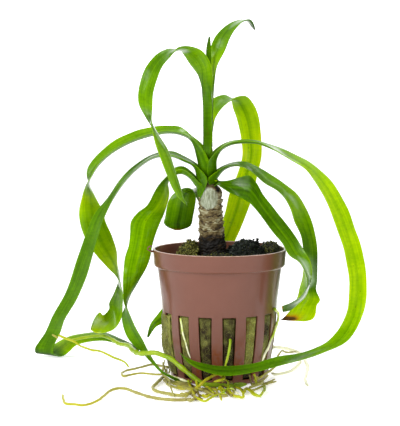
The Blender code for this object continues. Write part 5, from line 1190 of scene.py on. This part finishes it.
# ragged peaks of the soil mound: foot, top and width of each, filled with crumbs
peaks = (((15.2, 0.6, 53.4), (15.7, 0.3, 57.9), 1.5), ((17.6, 0.4, 52.6), (18.2, 0.2, 56.0), 1.2),
         ((8.2, 1.0, 53.6), (8.4, 0.8, 56.5), 1.4), ((12.2, 0.6, 54.0), (12.4, 0.5, 56.9), 1.5),
         ((13.8, 0.4, 54.0), (14.0, 0.3, 57.1), 1.3), ((4.6, 1.0, 51.6), (4.2, 0.8, 54.4), 1.5),
         ((10.2, -1.6, 54.0), (10.4, -1.8, 56.2), 1.5), ((16.6, -3.0, 51.6), (17.2, -3.2, 54.6), 1.6))
climb = crumbRng.uniform(0, 1, (len(peaks), crumbs["perPeak"], 1))
feet, tops, widths = (np.array([peak[i] for peak in peaks])[:, None] for i in range(3))
spread = crumbRng.normal(0, 0.45, (len(peaks), crumbs["perPeak"], 3)) * widths[:, None] * (1 - 0.85 * climb)
peakCrumbs = (feet + (tops - feet) * climb + spread).reshape(-1, 3)
peakSizes = (0.62 - 0.40 * climb[..., 0]).ravel() * crumbRng.uniform(0.7, 1.2, len(peakCrumbs))
crumbPiece("soilPeaks", peakCrumbs, peakSizes, 83)

# loose crumbs scattered on the wool and the litter in front of the stem
litterBase, _ = scattered(crumbRng, clumps["frontLitter"], crumbs["onLitter"], 0.05)
looseTurn = crumbRng.uniform(0, 2 * np.pi, crumbs["loose"])
looseOut = np.sqrt(crumbRng.uniform(0.05, 0.95, crumbs["loose"])) * 24.0
loose = np.stack([looseOut * np.sin(looseTurn), looseOut * np.cos(looseTurn),
                  np.full(crumbs["loose"], 47.2)], axis=-1)
loose = loose[np.hypot(loose[:, 0] + 2.7, loose[:, 1]) > 6.6]  # none in the stem
litter = np.concatenate([litterBase, loose])
crumbPiece("looseCrumbs", litter, crumbRng.uniform(0.15, 0.5, len(litter)), 84)
print("moss and soil made")

# Stem
# corky stem of a bulbous plant: papery tan leaf scars in rings, dark grooves, one bare pale patch
stemLook = {
    "tan": "#73653f", "brown": "#43341b", "dark": "#0c0804", "cream": "#a3a283", "pale": "#8f957d",
    "patchLine": "#656a4c", "patchLight": "#b4bba9", "green": "#5f8f1c", "roughness": 0.62,
    "coat": 0.08, "reliefMm": 0.22,
}
stemShape = {
    # the column's middle across, height and radius
    "points": ((-2.6, 33, 5.0), (-2.6, 46, 5.6), (-2.7, 51, 5.75), (-2.9, 53.5, 5.6), (-3.1, 57, 5.3),
               (-3.3, 60, 5.1), (-3.5, 64, 4.95), (-3.7, 69, 4.75), (-3.8, 74, 4.7), (-3.8, 76.8, 4.5),
               (-3.9, 78.4, 3.9), (-4.0, 79.5, 3.0), (-4.2, 80.3, 1.9), (-4.4, 84, 1.4),
               (-4.7, 89, 1.0), (-4.9, 93.5, 0.7)),
    "scarRings": (47.6, 49.4, 51.6, 53.4, 55.0, 56.2, 58.6, 61.6, 64.2, 66.6, 69.4, 71.8, 74.4, 76.6),
    "ringLip": 0.8, "patch": (-4.6, -4.4, 74.3), "patchReach": (4.3, 4.6, 5.0),
}


def stemMaterial(look):
    material, shader, add = startMaterial("corkyScarredStem", look["roughness"], look["coat"], 0.3, 0.2)
    solid = add("ShaderNodeTexCoord").outputs["Object"]
    bark, fine = (
        add("ShaderNodeTexNoise", {"Vector": add("ShaderNodeMapping", {"Vector": solid, "Scale": stretch}),
                                   "Scale": 1 / (size * mm), "Detail": 3.0, "Roughness": 0.6})
        for size, stretch in ((1.7, (0.8, 0.8, 3.6)), (0.5, (1.0, 1.0, 0.16))))
    depth, patch, shoot = (add("ShaderNodeAttribute", attribute_name=key).outputs["Fac"]
                           for key in ("bark", "patch", "shoot"))
    total = add("ShaderNodeMath", {0: bark, 1: 0.9, 2: depth}, operation="MULTIPLY_ADD")
    ramp = add("ShaderNodeValToRGB", {0: total})
    fillRamp(ramp, ((0.32, look["dark"]), (0.58, look["brown"]), (0.80, look["tan"]), (1.0, look["cream"])))
    lines = add("ShaderNodeValToRGB", {0: fine})
    fillRamp(lines, ((0.34, look["patchLine"]), (0.5, look["pale"]), (0.66, look["patchLight"])))
    bare = add("ShaderNodeMix", {"Factor": patch, "A": ramp, "B": lines}, data_type="RGBA")
    green = add("ShaderNodeMix", {"Factor": shoot, "A": bare, "B": toLinear(look["green"])},
                data_type="RGBA")
    relief = add("ShaderNodeMath", {0: bark, 1: fine}, operation="ADD")
    bump = add("ShaderNodeBump", {"Height": relief, "Strength": 0.7, "Distance": look["reliefMm"] * mm})
    fillInputs(shader, {"Base Color": green, "Normal": bump})
    return material


def stemPiece():
    # A column of rings. Each leaf scar leaves a ragged lip: the radius grows down to the scar's
    # lower edge and falls back under it. The bare patch is pressed in and smooth.
    shape = stemShape
    points = np.array(shape["points"])
    up = np.concatenate([np.linspace(33, 46, 14), np.arange(46.3, 80.4, 0.22), np.linspace(80.8, 93.5, 26)])
    columns = 120
    around = np.linspace(0, 2 * np.pi, columns, endpoint=False)[None, :]
    level = up[:, None]
    centreX = np.interp(up, points[:, 1], points[:, 0])[:, None]
    radius = np.interp(up, points[:, 1], points[:, 2])[:, None]
    spot = np.stack([centreX + radius * np.cos(around), radius * np.sin(around), level + 0 * around],
                    axis=-1)
    wander = 0.9 * ripple(spot * [1, 1, 0.25], 5.0, seed=91)
    wander = wander + 0.35 * ripple(spot * [1, 1, 0.3], 1.6, seed=92)
    rings = np.array(shape["scarRings"])
    height = level + wander
    number = np.searchsorted(rings, height.ravel(), side="right").reshape(height.shape)
    number = np.clip(number, 1, len(rings) - 1)
    since = (height - rings[number - 1]) / (rings[number] - rings[number - 1])
    lip = np.clip(since, 0, 1)**2.2
    fade = np.clip((79 - level) / 3, 0, 1) * np.clip((level - 46) / 2, 0, 1)
    ragged = np.clip(0.7 + 0.6 * ripple(spot, 2.0, seed=93), 0.1, 2)
    growth = (lip - 0.35) * shape["ringLip"] * ragged + 0.16 * ripple(spot, 1.3, seed=94)
    away = np.linalg.norm((spot - shape["patch"]) / np.array(shape["patchReach"]), axis=-1)
    edge = 1 + 0.06 * ripple(spot, 3.0, seed=95)
    patch = np.clip((edge - away) / 0.1, 0, 1)
    inward = -0.35 * np.clip((edge - away) / 0.2, 0, 1)
    radius = radius + (growth * (1 - patch) + inward) * fade
    ringPoints = np.stack([centreX + radius * np.cos(around), radius * np.sin(around),
                           level + 0 * around], axis=-1)
    groove = np.exp(-(since / 0.13)**2)
    bark = 0.30 - 0.32 * groove + 0.10 * lip - 0.50 * np.clip((61.5 - level) / 4.0, 0, 1)
    bark = bark + 0.12 * np.exp(-((level - 59.5) / 1.5)**2) + 0.10 * ripple(spot, 4.0, seed=96)
    bark = bark - 0.16 * np.clip((level - 76) / 2, 0, 1)
    # painted shade: a dark spot on the front of the stem, just under the foot of a leaf
    paintedShadeSpot = np.linalg.norm((spot - [-0.9, -3.6, 78.2]) / [0.9, 2.0, 1.5], axis=-1)
    bark = bark - 0.5 * np.clip(1.4 - paintedShadeSpot, 0, 1)
    browned = np.clip((spot[..., 0] + 3.4) / 3.5, 0, 1) * (0.35 + 0.65 * np.clip((level - 74) / 3, 0, 1))
    patch = patch * (1 - 0.75 * browned) * np.clip((79.2 - level) / 1.2, 0.1, 1)
    shoot = np.clip((level - 80.2) / 0.8, 0, 1) + 0 * around
    values = {"bark": bark, "patch": patch, "shoot": shoot}
    values = {key: value[None] for key, value in values.items()}
    piece = tubes("corkyStem", ringPoints[None], values, stemMaterial(stemLook))
    settle(piece, ["stem"])


stemPiece()
print("stem made")
roots = {
    "thickGreenRoot": {
        "node": "root_thick_green", "slot": "root_green", "radius": 1, "start": 0.62, "taper": 0,
        "skin": (0.8, 0.86),
        "points": (
            (-63.7, 33, 9.2), (-58.8, 33.6, 10.1), (-54.2, 34, 10.7), (-49.5, 33, 10.9), (-46.5, 29, 10.4),
            (-42.9, 21, 9.8), (-38.2, 9, 11.1), (-35.7, -3, 11.4), (-32.5, -11.5, 11.6),
            (-29, -14.5, 12.4), (-25.9, -16, 12.7), (-22.4, -17.3, 11.7), (-19.4, -18.7, 10.5),
            (-15.9, -20.7, 7.9), (-12.4, -22.8, 5.4), (-9, -24.6, 3.2), (-6.1, -25.4, 1.7),
            (-2.3, -25.6, 1.5), (2.3, -25.6, 1.3), (7, -25.2, 1.4), (10.6, -24.6, 1.7),
        ),
    },
    "sideBranchRoot": {
        "node": "root_side_branch", "slot": "root_green", "radius": 0.54, "taper": 0.2,
        "skin": (0.64, 0.68),
        "points": (
            (-69.6, 32, 11.5), (-66.5, 31.6, 10.2), (-63.3, 31.3, 9), (-60.2, 31, 7), (-57.4, 30, 6.1),
            (-54.7, 28.5, 5.5), (-51.8, 26.5, 5.6), (-47.9, 23.5, 4.6), (-44.3, 20.5, 3.6),
            (-41.4, 17.5, 3), (-39.4, 15, 2.2), (-37.9, 12.5, 1),
        ),
    },
    "leftLoopRoot": {
        "node": "root_left_loop", "slot": "root_green", "radius": 0.56, "skin": (0.3, 0.5),
        "points": (
            (-21.6, 8, 2.2), (-25.1, 17, 1), (-28.4, 20.5, 0.8), (-32.4, 15.6, 0.8), (-36.3, 10.4, 0.8),
            (-39.1, 6.7, 0.8), (-40.6, 0.8, 0.8), (-39.1, -4.4, 0.8), (-36.8, -1.8, 0.8),
            (-33.2, 1.7, 0.8), (-29.3, 0.6, 0.8), (-25.5, -1.5, 0.9), (-22.3, -2.4, 1.2),
        ),
    },
    "longTrailingRoot": {
        "node": "root_long_trailing", "slot": "root_green", "radius": 0.68, "skin": (0.24, 0.6),
        "points": (
            (-11.3, -48.6, 0.8), (-15.7, -50, 0.8), (-21.8, -48.4, 0.8), (-26.6, -45.2, 0.8),
            (-30.3, -40.5, 0.8), (-34.1, -34.6, 0.8), (-37.4, -29.2, 0.8), (-40.5, -28.3, 0.8),
            (-43.3, -33.1, 0.8), (-45.6, -43.8, 0.8), (-48.4, -54.3, 0.8), (-52.1, -58.9, 0.8),
            (-55.6, -57.3, 0.8), (-58.6, -56.4, 0.8), (-60.2, -49.2, 0.8), (-61.5, -39.6, 0.8),
        ),
    },
    "lowLeftLoopRoot": {
        "node": "root_low_left_loop", "slot": "root_green", "radius": 0.72, "taper": 0.1,
        "skin": (0.3, 0.36),
        "points": (
            (-22.8, -5.8, 1), (-25.2, -17, 0.8), (-26.7, -27.9, 0.8), (-25.2, -33.6, 0.8),
            (-21.5, -37.3, 0.7), (-18.5, -40.2, 0.7), (-15, -41.6, 0.7), (-12.6, -40.6, 0.7),
        ),
    },
    "frontLoopRoot": {
        "node": "root_front_loop", "slot": "root_tan", "radius": 0.6, "skin": (0.5, 0.72),
        "points": (
            (-12.6, -22.6, 2.6), (-12.3, -25.2, 1.6), (-11.8, -28.4, 0.9), (-10.8, -36.8, 0.8),
            (-9.9, -45.2, 0.8), (-8.1, -49, 0.8), (-6.2, -52, 0.8), (-4.4, -47.8, 0.8), (-2.2, -42.3, 0.8),
            (0.2, -38.9, 0.8), (2.5, -40, 0.8),
        ),
    },
    "raisedLoopRoot": {
        "node": "root_raised_loop", "slot": "root_green", "radius": 0.6, "taper": 0, "skin": (0.5, 0.58),
        "points": (
            (-9.7, -36.9, 2.7), (-8.6, -35.2, 3), (-7.2, -33.3, 4), (-5.7, -31.9, 5), (-3.9, -30.4, 5.6),
            (-2.7, -29.9, 6.3), (-0.9, -30, 6.9), (0.6, -30, 6.2), (1.6, -30.8, 5.5), (0.3, -32.4, 5),
            (-1.5, -33.2, 4.6), (-2.7, -33.2, 4.4),
        ),
    },
    "creamCurlRoot": {
        "node": "root_cream_curl", "slot": "root_cream", "radius": 0.5, "skin": (0.92, 0.98),
        "points": (
            (1, -36.6, 0.8), (2.1, -32.4, 0.9), (3.3, -31.2, 1.2), (5.1, -31.8, 1.1), (5.9, -35.3, 0.8),
            (7, -38.6, 0.8),
        ),
    },
    "rightZigzagRoot": {
        "node": "root_right_zigzag", "slot": "root_green", "radius": 0.52, "skin": (0.62, 0.76),
        "points": (
            (4.9, -43.2, 0.8), (6.3, -44.3, 0.8), (8.1, -45.2, 0.8), (9.1, -38, 0.8), (10.3, -30, 0.8),
            (11.4, -32.5, 0.8), (12.1, -38, 0.8), (13.4, -41.7, 0.8), (14.9, -43, 0.8), (16.3, -38, 0.8),
            (17.9, -28.2, 0.8), (17.5, -21.4, 0.8), (16.2, -20.4, 1.1),
        ),
    },
    "rightTanRoot": {
        "node": "root_right_tan", "slot": "root_tan", "radius": 0.55, "skin": (0.45, 0.3),
        "points": (
            (14, -21, 2.6), (16, -17.6, 2.6), (19.2, -10.4, 3.4), (22.8, -2, 4.2), (25.4, 12, 7.1),
            (27, 18, 7.2), (29.1, 22, 5.8), (33.9, 30, 4.6),
        ),
    },
    "thinCrossingRoot": {
        "node": "root_thin_crossing", "slot": "root_tan", "radius": 0.4, "skin": (0.4, 0.3),
        "points": (
            (-23, -10.6, 2.6), (-20.7, -19.3, 2.5), (-19.9, -30, 2.4), (-19.1, -38.2, 2.1),
            (-17.9, -45.2, 0.8),
        ),
    },
    # its bright yellow-green skin is partly painted light, as if lit through where the pot's shade falls
    "rightWallRoot": {
        "node": "root_right_wall", "slot": "root_tan", "radius": 0.6, "skin": (0.93, 1),
        "points": (
            (22.1, -9.9, 29.7), (23.9, -6, 27.2), (24.2, -5, 25), (23.4, -6, 22.3), (22.1, -8, 19.2),
            (20.5, -10.5, 16.2), (19.1, -12.5, 13.1), (17.8, -14, 10.7), (17, -14.6, 8.8),
        ),
    },
    "slotGreenRoot": {
        "node": "root_slot_green", "slot": "root_green", "radius": 0.6, "skin": (0.8, 0.74),
        "points": (
            (3.8, -21.3, 20), (4.2, -22.9, 18.6), (3.6, -24.2, 15), (2.4, -25.4, 11), (1.6, -25.8, 8),
        ),
    },
    "slotPaleRoot": {
        "node": "root_slot_pale", "slot": "root_cream", "radius": 0.4, "skin": (0.97, 1),
        "points": (
            (-15.9, -17.2, 27), (-15.3, -17.6, 23.8), (-14.6, -17.9, 19.9), (-13.7, -18.1, 16.3),
            (-12.8, -18.2, 13.5), (-11.7, -18.4, 10.9),
        ),
    },
    "backRightRoot": {
        "node": "root_back_right", "slot": "root_tan", "radius": 0.78, "skin": (1.06, 1.06),
        "points": (
            (23.9, 30, 6.6), (27.7, 38, 4.8), (31.5, 45, 2.8), (36.2, 46.5, 1), (37.8, 39, 0.8),
            (37.6, 28, 0.8), (37.8, 15.5, 0.8), (36.6, 3.7, 0.8), (35.3, -6.4, 0.8), (34.8, -17.6, 0.8),
            (35.3, -23.9, 0.8),
        ),
    },
    "rightArcRoot": {
        "node": "root_right_arc", "slot": "root_tan", "radius": 0.76, "skin": (1.06, 1.06),
        "points": (
            (35.2, 26, 0.8), (32.4, 14, 0.8), (29.2, 5.2, 0.8), (25.7, 0.8, 0.8), (23.1, -0.5, 0.8),
            (21.5, 2, 1),
        ),
    },
    "innerStrandRoot": {
        "node": "root_strand_inner", "slot": "root_green", "radius": 0.6, "skin": (0.28, 0.4),
        "points": (
            (-21.9, -8, 0.9), (-19.8, -15.5, 0.8), (-16.6, -22.8, 0.8), (-13.9, -26.2, 0.8),
        ),
    },
    "outerStrandRoot": {
        "node": "root_strand_outer", "slot": "root_green", "radius": 0.6, "skin": (0.3, 0.45),
        "points": (
            (-22.6, -13, 0.9), (-20.4, -22.5, 0.8), (-16.4, -28.7, 0.8), (-13.6, -31, 0.8),
        ),
    },
}


# living root skin: firm, smooth and slightly see-through, from tan where old to cream at young tips
rootSkin = {
    "colours": ((0.0, "#66561e"), (0.2, "#857a3c"), (0.35, "#98944c"), (0.5, "#a6a018"),
                # the stop at 0.93 is partly painted light: the bright yellow-green of a root lit through
                (0.65, "#a8ac0c"), (0.8, "#8aa406"), (0.88, "#769602"), (0.93, "#b4cc3a"),
                (1.0, "#e2e2bf")),
    "roughness": 0.38, "coat": 0.1, "reliefMm": 0.12,
    # patterns on the skin: size in millimetres, detail, and how far each moves the colour
    "patterns": ((1.6, 3, 0.16), (5, 2, 0.22)),
}
rootShape = {"spacing": 0.7, "sides": 12, "wobble": 0.12, "wobbleSize": 6.0, "tipLength": 2.2}


def rootMaterial(look):
    material, shader, add = startMaterial("livingRootSkin", look["roughness"], look["coat"], 0.15, 0.25)
    solid = add("ShaderNodeTexCoord").outputs["Object"]
    total = add("ShaderNodeAttribute", attribute_name="skin").outputs["Fac"]
    patterns = []
    for size, detail, amount in look["patterns"]:
        patterns.append(add("ShaderNodeTexNoise", {"Vector": solid, "Scale": 1 / (size * mm),
                                                   "Detail": detail}))
        swing = add("ShaderNodeMath", {0: patterns[-1], 1: 0.5}, operation="SUBTRACT")
        total = add("ShaderNodeMath", {0: swing, 1: amount, 2: total}, operation="MULTIPLY_ADD")
    ramp = add("ShaderNodeValToRGB", {0: total})
    fillRamp(ramp, look["colours"])
    bump = add("ShaderNodeBump", {"Height": patterns[0], "Strength": 0.5,
                                  "Distance": look["reliefMm"] * mm})
    fillInputs(shader, {"Base Color": ramp, "Normal": bump})
    return material


def rootPiece(name, root, seed):
    # a round tube along the root's points, a little crooked, thinner towards its tip
    path, along = smoothPath(root["points"], rootShape["spacing"], edges=1)
    share = along / along[-1]
    path = path[:, 0:3]
    for axis in (0, 1):
        path[:, axis] += ripple(path, rootShape["wobbleSize"], seed=seed + axis * 50) * rootShape["wobble"]
    radii = root["radius"] * (1.0 - root.get("taper", 0.3) * share)
    radii = radii * (1 + 0.08 * ripple(path, 3.0, seed=seed + 200))
    radii *= np.clip(root.get("start", 1.0) + share, 0, 1)
    toTip = np.clip((along[-1] - along) / rootShape["tipLength"], 0, 1)
    radii *= 0.25 + 0.75 * np.sqrt(toTip)
    path[:, 2] = np.maximum(path[:, 2], radii + 0.1)
    rings = roundRings(path, radii, rootShape["sides"])
    start, end = root["skin"]
    skin = np.repeat((start + (end - start) * share)[:, None], rootShape["sides"], axis=1)
    piece = tubes(name, rings[None], {"skin": skin[None]}, rootSkinMaterial)
    settle(piece, [root["node"]])


rootSkinMaterial = rootMaterial(rootSkin)
for seed, (rootName, root) in enumerate(roots.items()):
    rootPiece(rootName, root, seed)
print("roots made:", len(roots))

# Side roots too small and tangled for single parts: radius, skin, then points along each
sideRoots = (
    (0.45, 0.72, ((13.6, -24, 5.6), (13.9, -25.6, 4.2), (14.4, -27, 2.4))),
    (0.35, 0.40, ((18.6, -21.6, 1), (20.4, -20, 1.2), (22.8, -18.4, 1.6))),
    (0.40, 0.70, ((-4.6, -31, 1.6), (-3.8, -34, 1.2), (-3, -37.4, 0.9))),
    (0.40, 0.70, ((-0.4, -28.6, 1.6), (0.8, -31.4, 1.4), (2, -34, 0.9))),
    (0.40, 0.45, ((-69.8, 31.4, 10.2), (-71, 31.2, 11.2), (-72.2, 31, 12))),
    (0.45, 0.36, ((12.4, -25.4, 1.6), (16.4, -21.8, 2.2), (19.6, -16, 3.6))),
    (0.40, 0.30, ((14.8, -22.6, 0.9), (19.2, -18, 1), (22.6, -12, 1.2))),
    (0.30, 0.34, ((-23.6, -12, 3), (-22.8, -11, 5.6), (-23.4, -9.6, 7.6))),
    (0.30, 0.42, ((-24, -8, 2.6), (-23.2, -8.6, 5), (-22.6, -8.4, 8.4))),
    (0.55, 0.66, ((-9.5, -24.6, 3.7), (-9.3, -26.2, 2.3), (-9.2, -28.7, 1.2), (-9.2, -32.9, 0.7))),
    (0.42, 0.72, ((-11.4, -24.9, 3), (-12, -23, 1.6), (-11.8, -25.8, 0.8), (-11.2, -32.9, 0.7),
     (-10.4, -40.3, 0.7), (-9.6, -45.6, 0.7), (-8.4, -47, 0.7), (-6.9, -49, 0.6))),
    (0.50, 0.62, ((-0.6, -29.7, 1.4), (0.1, -32, 0.9), (0.7, -36.2, 0.8))),
    (0.42, 0.58, ((-0.2, -42.1, 0.7), (0, -45.8, 0.6), (0.3, -49.4, 0.6))),
    (0.40, 0.66, ((3.1, -28.5, 3.9), (3.1, -29.7, 1.4), (2.9, -33.4, 0.8), (2.7, -38.5, 0.7))),
    (0.45, 0.45, ((-3.7, -30.1, 0.9), (-2.1, -30.3, 0.9), (-1.4, -35.3, 0.8), (-0.8, -40.3, 0.7))),
    (0.36, 0.50, ((0.6, -27.5, 2.9), (1.6, -28, 3.9), (2.8, -28, 3.7), (3.7, -27, 2.6))),
    (0.70, 0.30, ((-8.8, -30.1, 0.9), (-6.9, -32.1, 0.8), (-4.9, -36.6, 0.8), (-2.6, -42.1, 0.8))),
    (0.50, 0.36, ((-6.1, -28.4, 0.9), (-3.7, -33.2, 0.8), (-1.5, -38.7, 0.7), (0.4, -42.7, 0.7),
     (2.8, -42.7, 0.7))),
    (0.55, 0.55, ((-7.3, -41.2, 0.7), (-5.7, -43.4, 0.7), (-4.2, -40.5, 0.7), (-1.8, -36.5, 0.7))),
    (0.60, 0.46, ((3.6, -29.6, 0.8), (3.8, -36.2, 0.8), (4.7, -40.8, 0.8), (6.2, -43.2, 0.8),
     (7.9, -44.6, 0.8))),
    (0.50, 0.30, ((3.9, -42.7, 0.7), (5.2, -35, 0.7), (5, -29.8, 0.8), (6.2, -26.8, 0.8))),
    (0.55, 0.42, ((9.2, -33.4, 0.8), (10.5, -29.7, 1), (11.6, -31.4, 0.9), (12.3, -35, 0.7))),
    (0.50, 0.34, ((11.3, -29.7, 1.4), (13.3, -28.9, 1.8), (15.3, -28.6, 2.4), (17.6, -20, 1.9))),
    (0.45, 0.40, ((12.1, -33.6, 0.8), (14.4, -29.8, 0.8), (16.6, -25.4, 0.9), (18.3, -22, 1))),
    (0.42, 0.72, ((12.3, -32.9, 0.7), (13.5, -39, 0.7), (15, -41.6, 0.7), (16.4, -35.7, 0.7),
     (17.3, -27.6, 0.8), (16.6, -23.9, 1))),
    (0.55, 0.42, ((14.8, -21.5, 4.1), (14.6, -22, 3), (14.4, -22.6, 1.8))),
    (0.70, 0.28, ((-16.5, -20.5, 0.9), (-14, -23.4, 0.9), (-11.6, -28.4, 0.9), (-9.2, -33.6, 0.8))),
    (0.60, 0.36, ((-17.2, -25.7, 0.9), (-14.8, -27.3, 0.9), (-12.4, -30.1, 0.9), (-10, -30.6, 0.8))),
    (0.60, 0.34, ((-17.7, -17.9, 1.2), (-15.3, -19.3, 1.1), (-12.8, -23.9, 1), (-10.8, -32.2, 0.9))),
    (0.65, 0.36, ((-15.8, -39.2, 0.8), (-13.9, -40.6, 0.8), (-12.2, -37.3, 0.8), (-10.8, -31.3, 0.8))),
    (0.50, 0.44, ((-13.8, -44.1, 0.7), (-12.7, -39.8, 0.7), (-11.4, -33.6, 0.8))),
    (0.55, 0.34, ((-13, -50.2, 0.7), (-11.3, -49.9, 0.7), (-10.2, -45.6, 0.7), (-10.8, -38.7, 0.7),
     (-11, -32.7, 0.7))),
    (0.40, 0.95, ((-16, -27.5, 4.4), (-14.2, -27.5, 3.8), (-12.4, -27, 3))),
    (0.45, 0.50, ((-5.7, -26.4, 1.2), (-4.1, -29.2, 0.9), (-2.2, -31.4, 0.9), (0.6, -29.8, 0.8),
     (2.9, -32.5, 0.8))),
    (0.45, 0.62, ((6.2, -28, 1.2), (7.7, -30.1, 0.9), (8.7, -36.8, 0.7))),
    (0.30, 0.99, ((-21.5, -10, 2.7), (-19.4, -14, 2.8), (-16.1, -18, 2.6), (-12.7, -21, 1.9))),
    (0.40, 0.36, ((18.3, -20.2, 0.8), (19.9, -17.1, 0.8), (21.7, -15, 0.7))),
    (0.30, 0.25, ((-22.2, -6, 2.6), (-22.6, -6.4, 4.8), (-23.4, -6.2, 6.5))),
    (0.35, 0.30, ((-21.6, -7, 2.4), (-21.7, -7.6, 4.2), (-21.3, -8, 5.7))),
    (0.30, 0.34, ((-20.9, -8, 2.6), (-20.5, -8.6, 4.1), (-20.9, -9, 5.3))),
    (0.60, 0.36, ((-22.8, -7.8, 1.2), (-20.2, -13.6, 0.9), (-16.5, -18.8, 0.9), (-12.5, -22.3, 0.9))),
    (0.60, 0.40, ((-21.9, -10.8, 0.9), (-19.3, -18.3, 0.8), (-16, -23.3, 0.8), (-12.4, -27.2, 0.8))),
)


def sideRootsPiece():
    # every one is a curve through its points, drawn with the same number of rings, in one piece
    rows, sides = 30, 10
    rings, skins = [], []
    strands = list(sideRoots)
    # the thicket in front of the pot gets a second, darker layer behind its strands: painted shade
    # between them
    rng = np.random.default_rng(8)
    for radius, skin, points in sideRoots:
        middle = points[len(points) // 2]
        if abs(middle[0]) < 15 and middle[1] < -22:
            away = rng.normal(0, 1.1, 3) * [1, 1, 0.1] + [0, 1.8, -0.3]
            shadeLayer = [tuple(np.add(point, away)) for point in points]
            strands.append((radius * 0.8, rng.uniform(-0.1, 0.15), shadeLayer))
    for seed, (radius, skin, points) in enumerate(strands):
        path, _ = smoothPath(points, 0.25, edges=1)
        path = path[:, 0:3]
        at = np.linspace(0, len(path) - 1, rows)
        path = np.stack([np.interp(at, np.arange(len(path)), path[:, i]) for i in range(3)], axis=1)
        path = path + 0.06 * ripple(path, 4.0, seed=seed)[:, None]
        share = np.linspace(0, 1, rows)
        radii = 1.15 * radius * (1 - 0.25 * share) * (1 + 0.08 * ripple(path, 2.5, seed=seed + 90))
        radii = radii * np.clip(0.5 + np.minimum(share, 1 - share) * 9, 0, 1)
        path[:, 2] = np.maximum(path[:, 2], radii + 0.1)
        rings.append(roundRings(path, radii, sides))
        skins.append(np.repeat((skin + 0.06 * ripple(path, 6.0, seed=seed + 40))[:, None], sides, axis=1))
    skins = np.clip(np.array(skins), 0, 1)
    piece = tubes("shortSideRoots", np.array(rings), {"skin": skins}, rootSkinMaterial)
    settle(piece, [])


sideRootsPiece()


# Stage: a plain white floor and backdrop, soft light, and the photo's camera
def boardMaterial(name, brightness, glow):
    # matt paper board; a little light of its own keeps it white in the picture
    material, shader, _ = startMaterial(name, 0.9, gloss=0.1)
    fillInputs(shader, {"Base Color": (brightness, brightness, brightness, 1.0),
                        "Emission Color": (1.0, 1.0, 1.0, 1.0), "Emission Strength": glow})
    return material


def addLight(name, place, target, size, power):
    light = bpy.data.lights.new(name, "AREA")
    light.size = size
    light.energy = power
    lamp = bpy.data.objects.new(name, light)
    lamp.location = place
    aim = np.array(target) - np.array(place)
    flat = math.hypot(aim[0], aim[1])
    lamp.rotation_euler = (math.pi / 2 + math.atan2(aim[2], flat), 0.0, math.atan2(-aim[0], aim[1]))
    bpy.context.scene.collection.objects.link(lamp)


def addBoard(name, corners, material):
    mesh = bpy.data.meshes.new(name)
    mesh.from_pydata(corners, [], [(0, 1, 2, 3)])
    mesh.materials.append(material)
    board = bpy.data.objects.new(name, mesh)
    bpy.context.scene.collection.objects.link(board)
    return board


floorLevel = -0.0003  # metres, just under the roots
addBoard("floor", [(-3, -2, floorLevel), (3, -2, floorLevel), (3, 2, floorLevel), (-3, 2, floorLevel)],
         boardMaterial("mattWhiteBoard", 0.92, 0.42))
addBoard("backdrop", [(-3, 2, floorLevel), (3, 2, floorLevel), (3, 2, 3), (-3, 2, 3)],
         boardMaterial("litWhiteBackdrop", 0.9, 1.0))

# Black cards that only reflections show, as a photographer's flags do. Those at both sides give the
# pot and leaves their darker edges; the pot shows the gap between the two on the right as a thin
# line of light.
cards = {
    "cardRight": ((0.30, 0.02, 0), (0.30, 0.195, 0), (0.30, 0.195, 0.5), (0.30, 0.02, 0.5)),
    "cardBehind": ((0.31, 0.275, 0), (0.125, 0.345, 0), (0.125, 0.345, 0.4), (0.31, 0.275, 0.4)),
    "cardLeft": ((-0.33, 0.25, 0), (-0.145, 0.345, 0), (-0.145, 0.345, 0.4), (-0.33, 0.25, 0.4)),
    "lyingCardRight": ((0.08, 0.002, 0.001), (0.42, 0.038, 0.001), (0.42, 0.283, 0.001),
                       (0.092, 0.045, 0.001)),
    "lyingCardBehind": ((0.098, 0.065, 0.001), (0.40, 0.347, 0.001), (0.40, 0.40, 0.001),
                        (0.12, 0.33, 0.001)),
    "lyingCardLeft": ((-0.35, 0.12, 0.001), (-0.118, 0.12, 0.001), (-0.142, 0.34, 0.001),
                      (-0.35, 0.34, 0.001)),
}
black = boardMaterial("blackCardboard", 0.02, 0.0)
for cardName, corners in cards.items():
    card = addBoard(cardName, corners, black)
    card.visible_camera = card.visible_diffuse = card.visible_transmission = card.visible_shadow = False

world = bpy.data.worlds.new("studio")
world.use_nodes = True
fillInputs(world.node_tree.nodes["Background"], {"Color": (1.0, 1.0, 1.0, 1.0), "Strength": 0.45})
bpy.context.scene.world = world

# square softboxes: place, the point each is turned to, its side in metres and its power in watts
softboxes = {
    "softboxFrontLeft": ((-0.55, -0.50, 0.50), (0.0, 0.0, 0.06), 0.40, 5.5),
    "softboxRight": ((0.36, -0.50, 0.35), (0.0, 0.0, 0.06), 0.25, 1.2),
    "softboxAbove": ((0.05, 0.10, 0.75), (0.0, 0.0, 0.08), 0.35, 3.6),
}
for lightName, light in softboxes.items():
    addLight(lightName, *light)

# camera: where it stands, how far it looks down in degrees, lens and picture width in millimetres
cameraView = {"place": (-0.00804, -0.62747, 0.12769), "down": 5.442, "lens": 129.65,
              "width": 36.0 * 400 / 426}
cameraData = bpy.data.cameras.new("camera")
cameraData.sensor_fit = "HORIZONTAL"
cameraData.sensor_width = cameraView["width"]
cameraData.lens = cameraView["lens"]
camera = bpy.data.objects.new("camera", cameraData)
camera.location = cameraView["place"]
camera.rotation_euler = (math.radians(90 - cameraView["down"]), 0.0, 0.0)
bpy.context.scene.collection.objects.link(camera)
bpy.context.scene.camera = camera
bpy.context.scene.view_settings.view_transform = "Standard"

print("stage made")
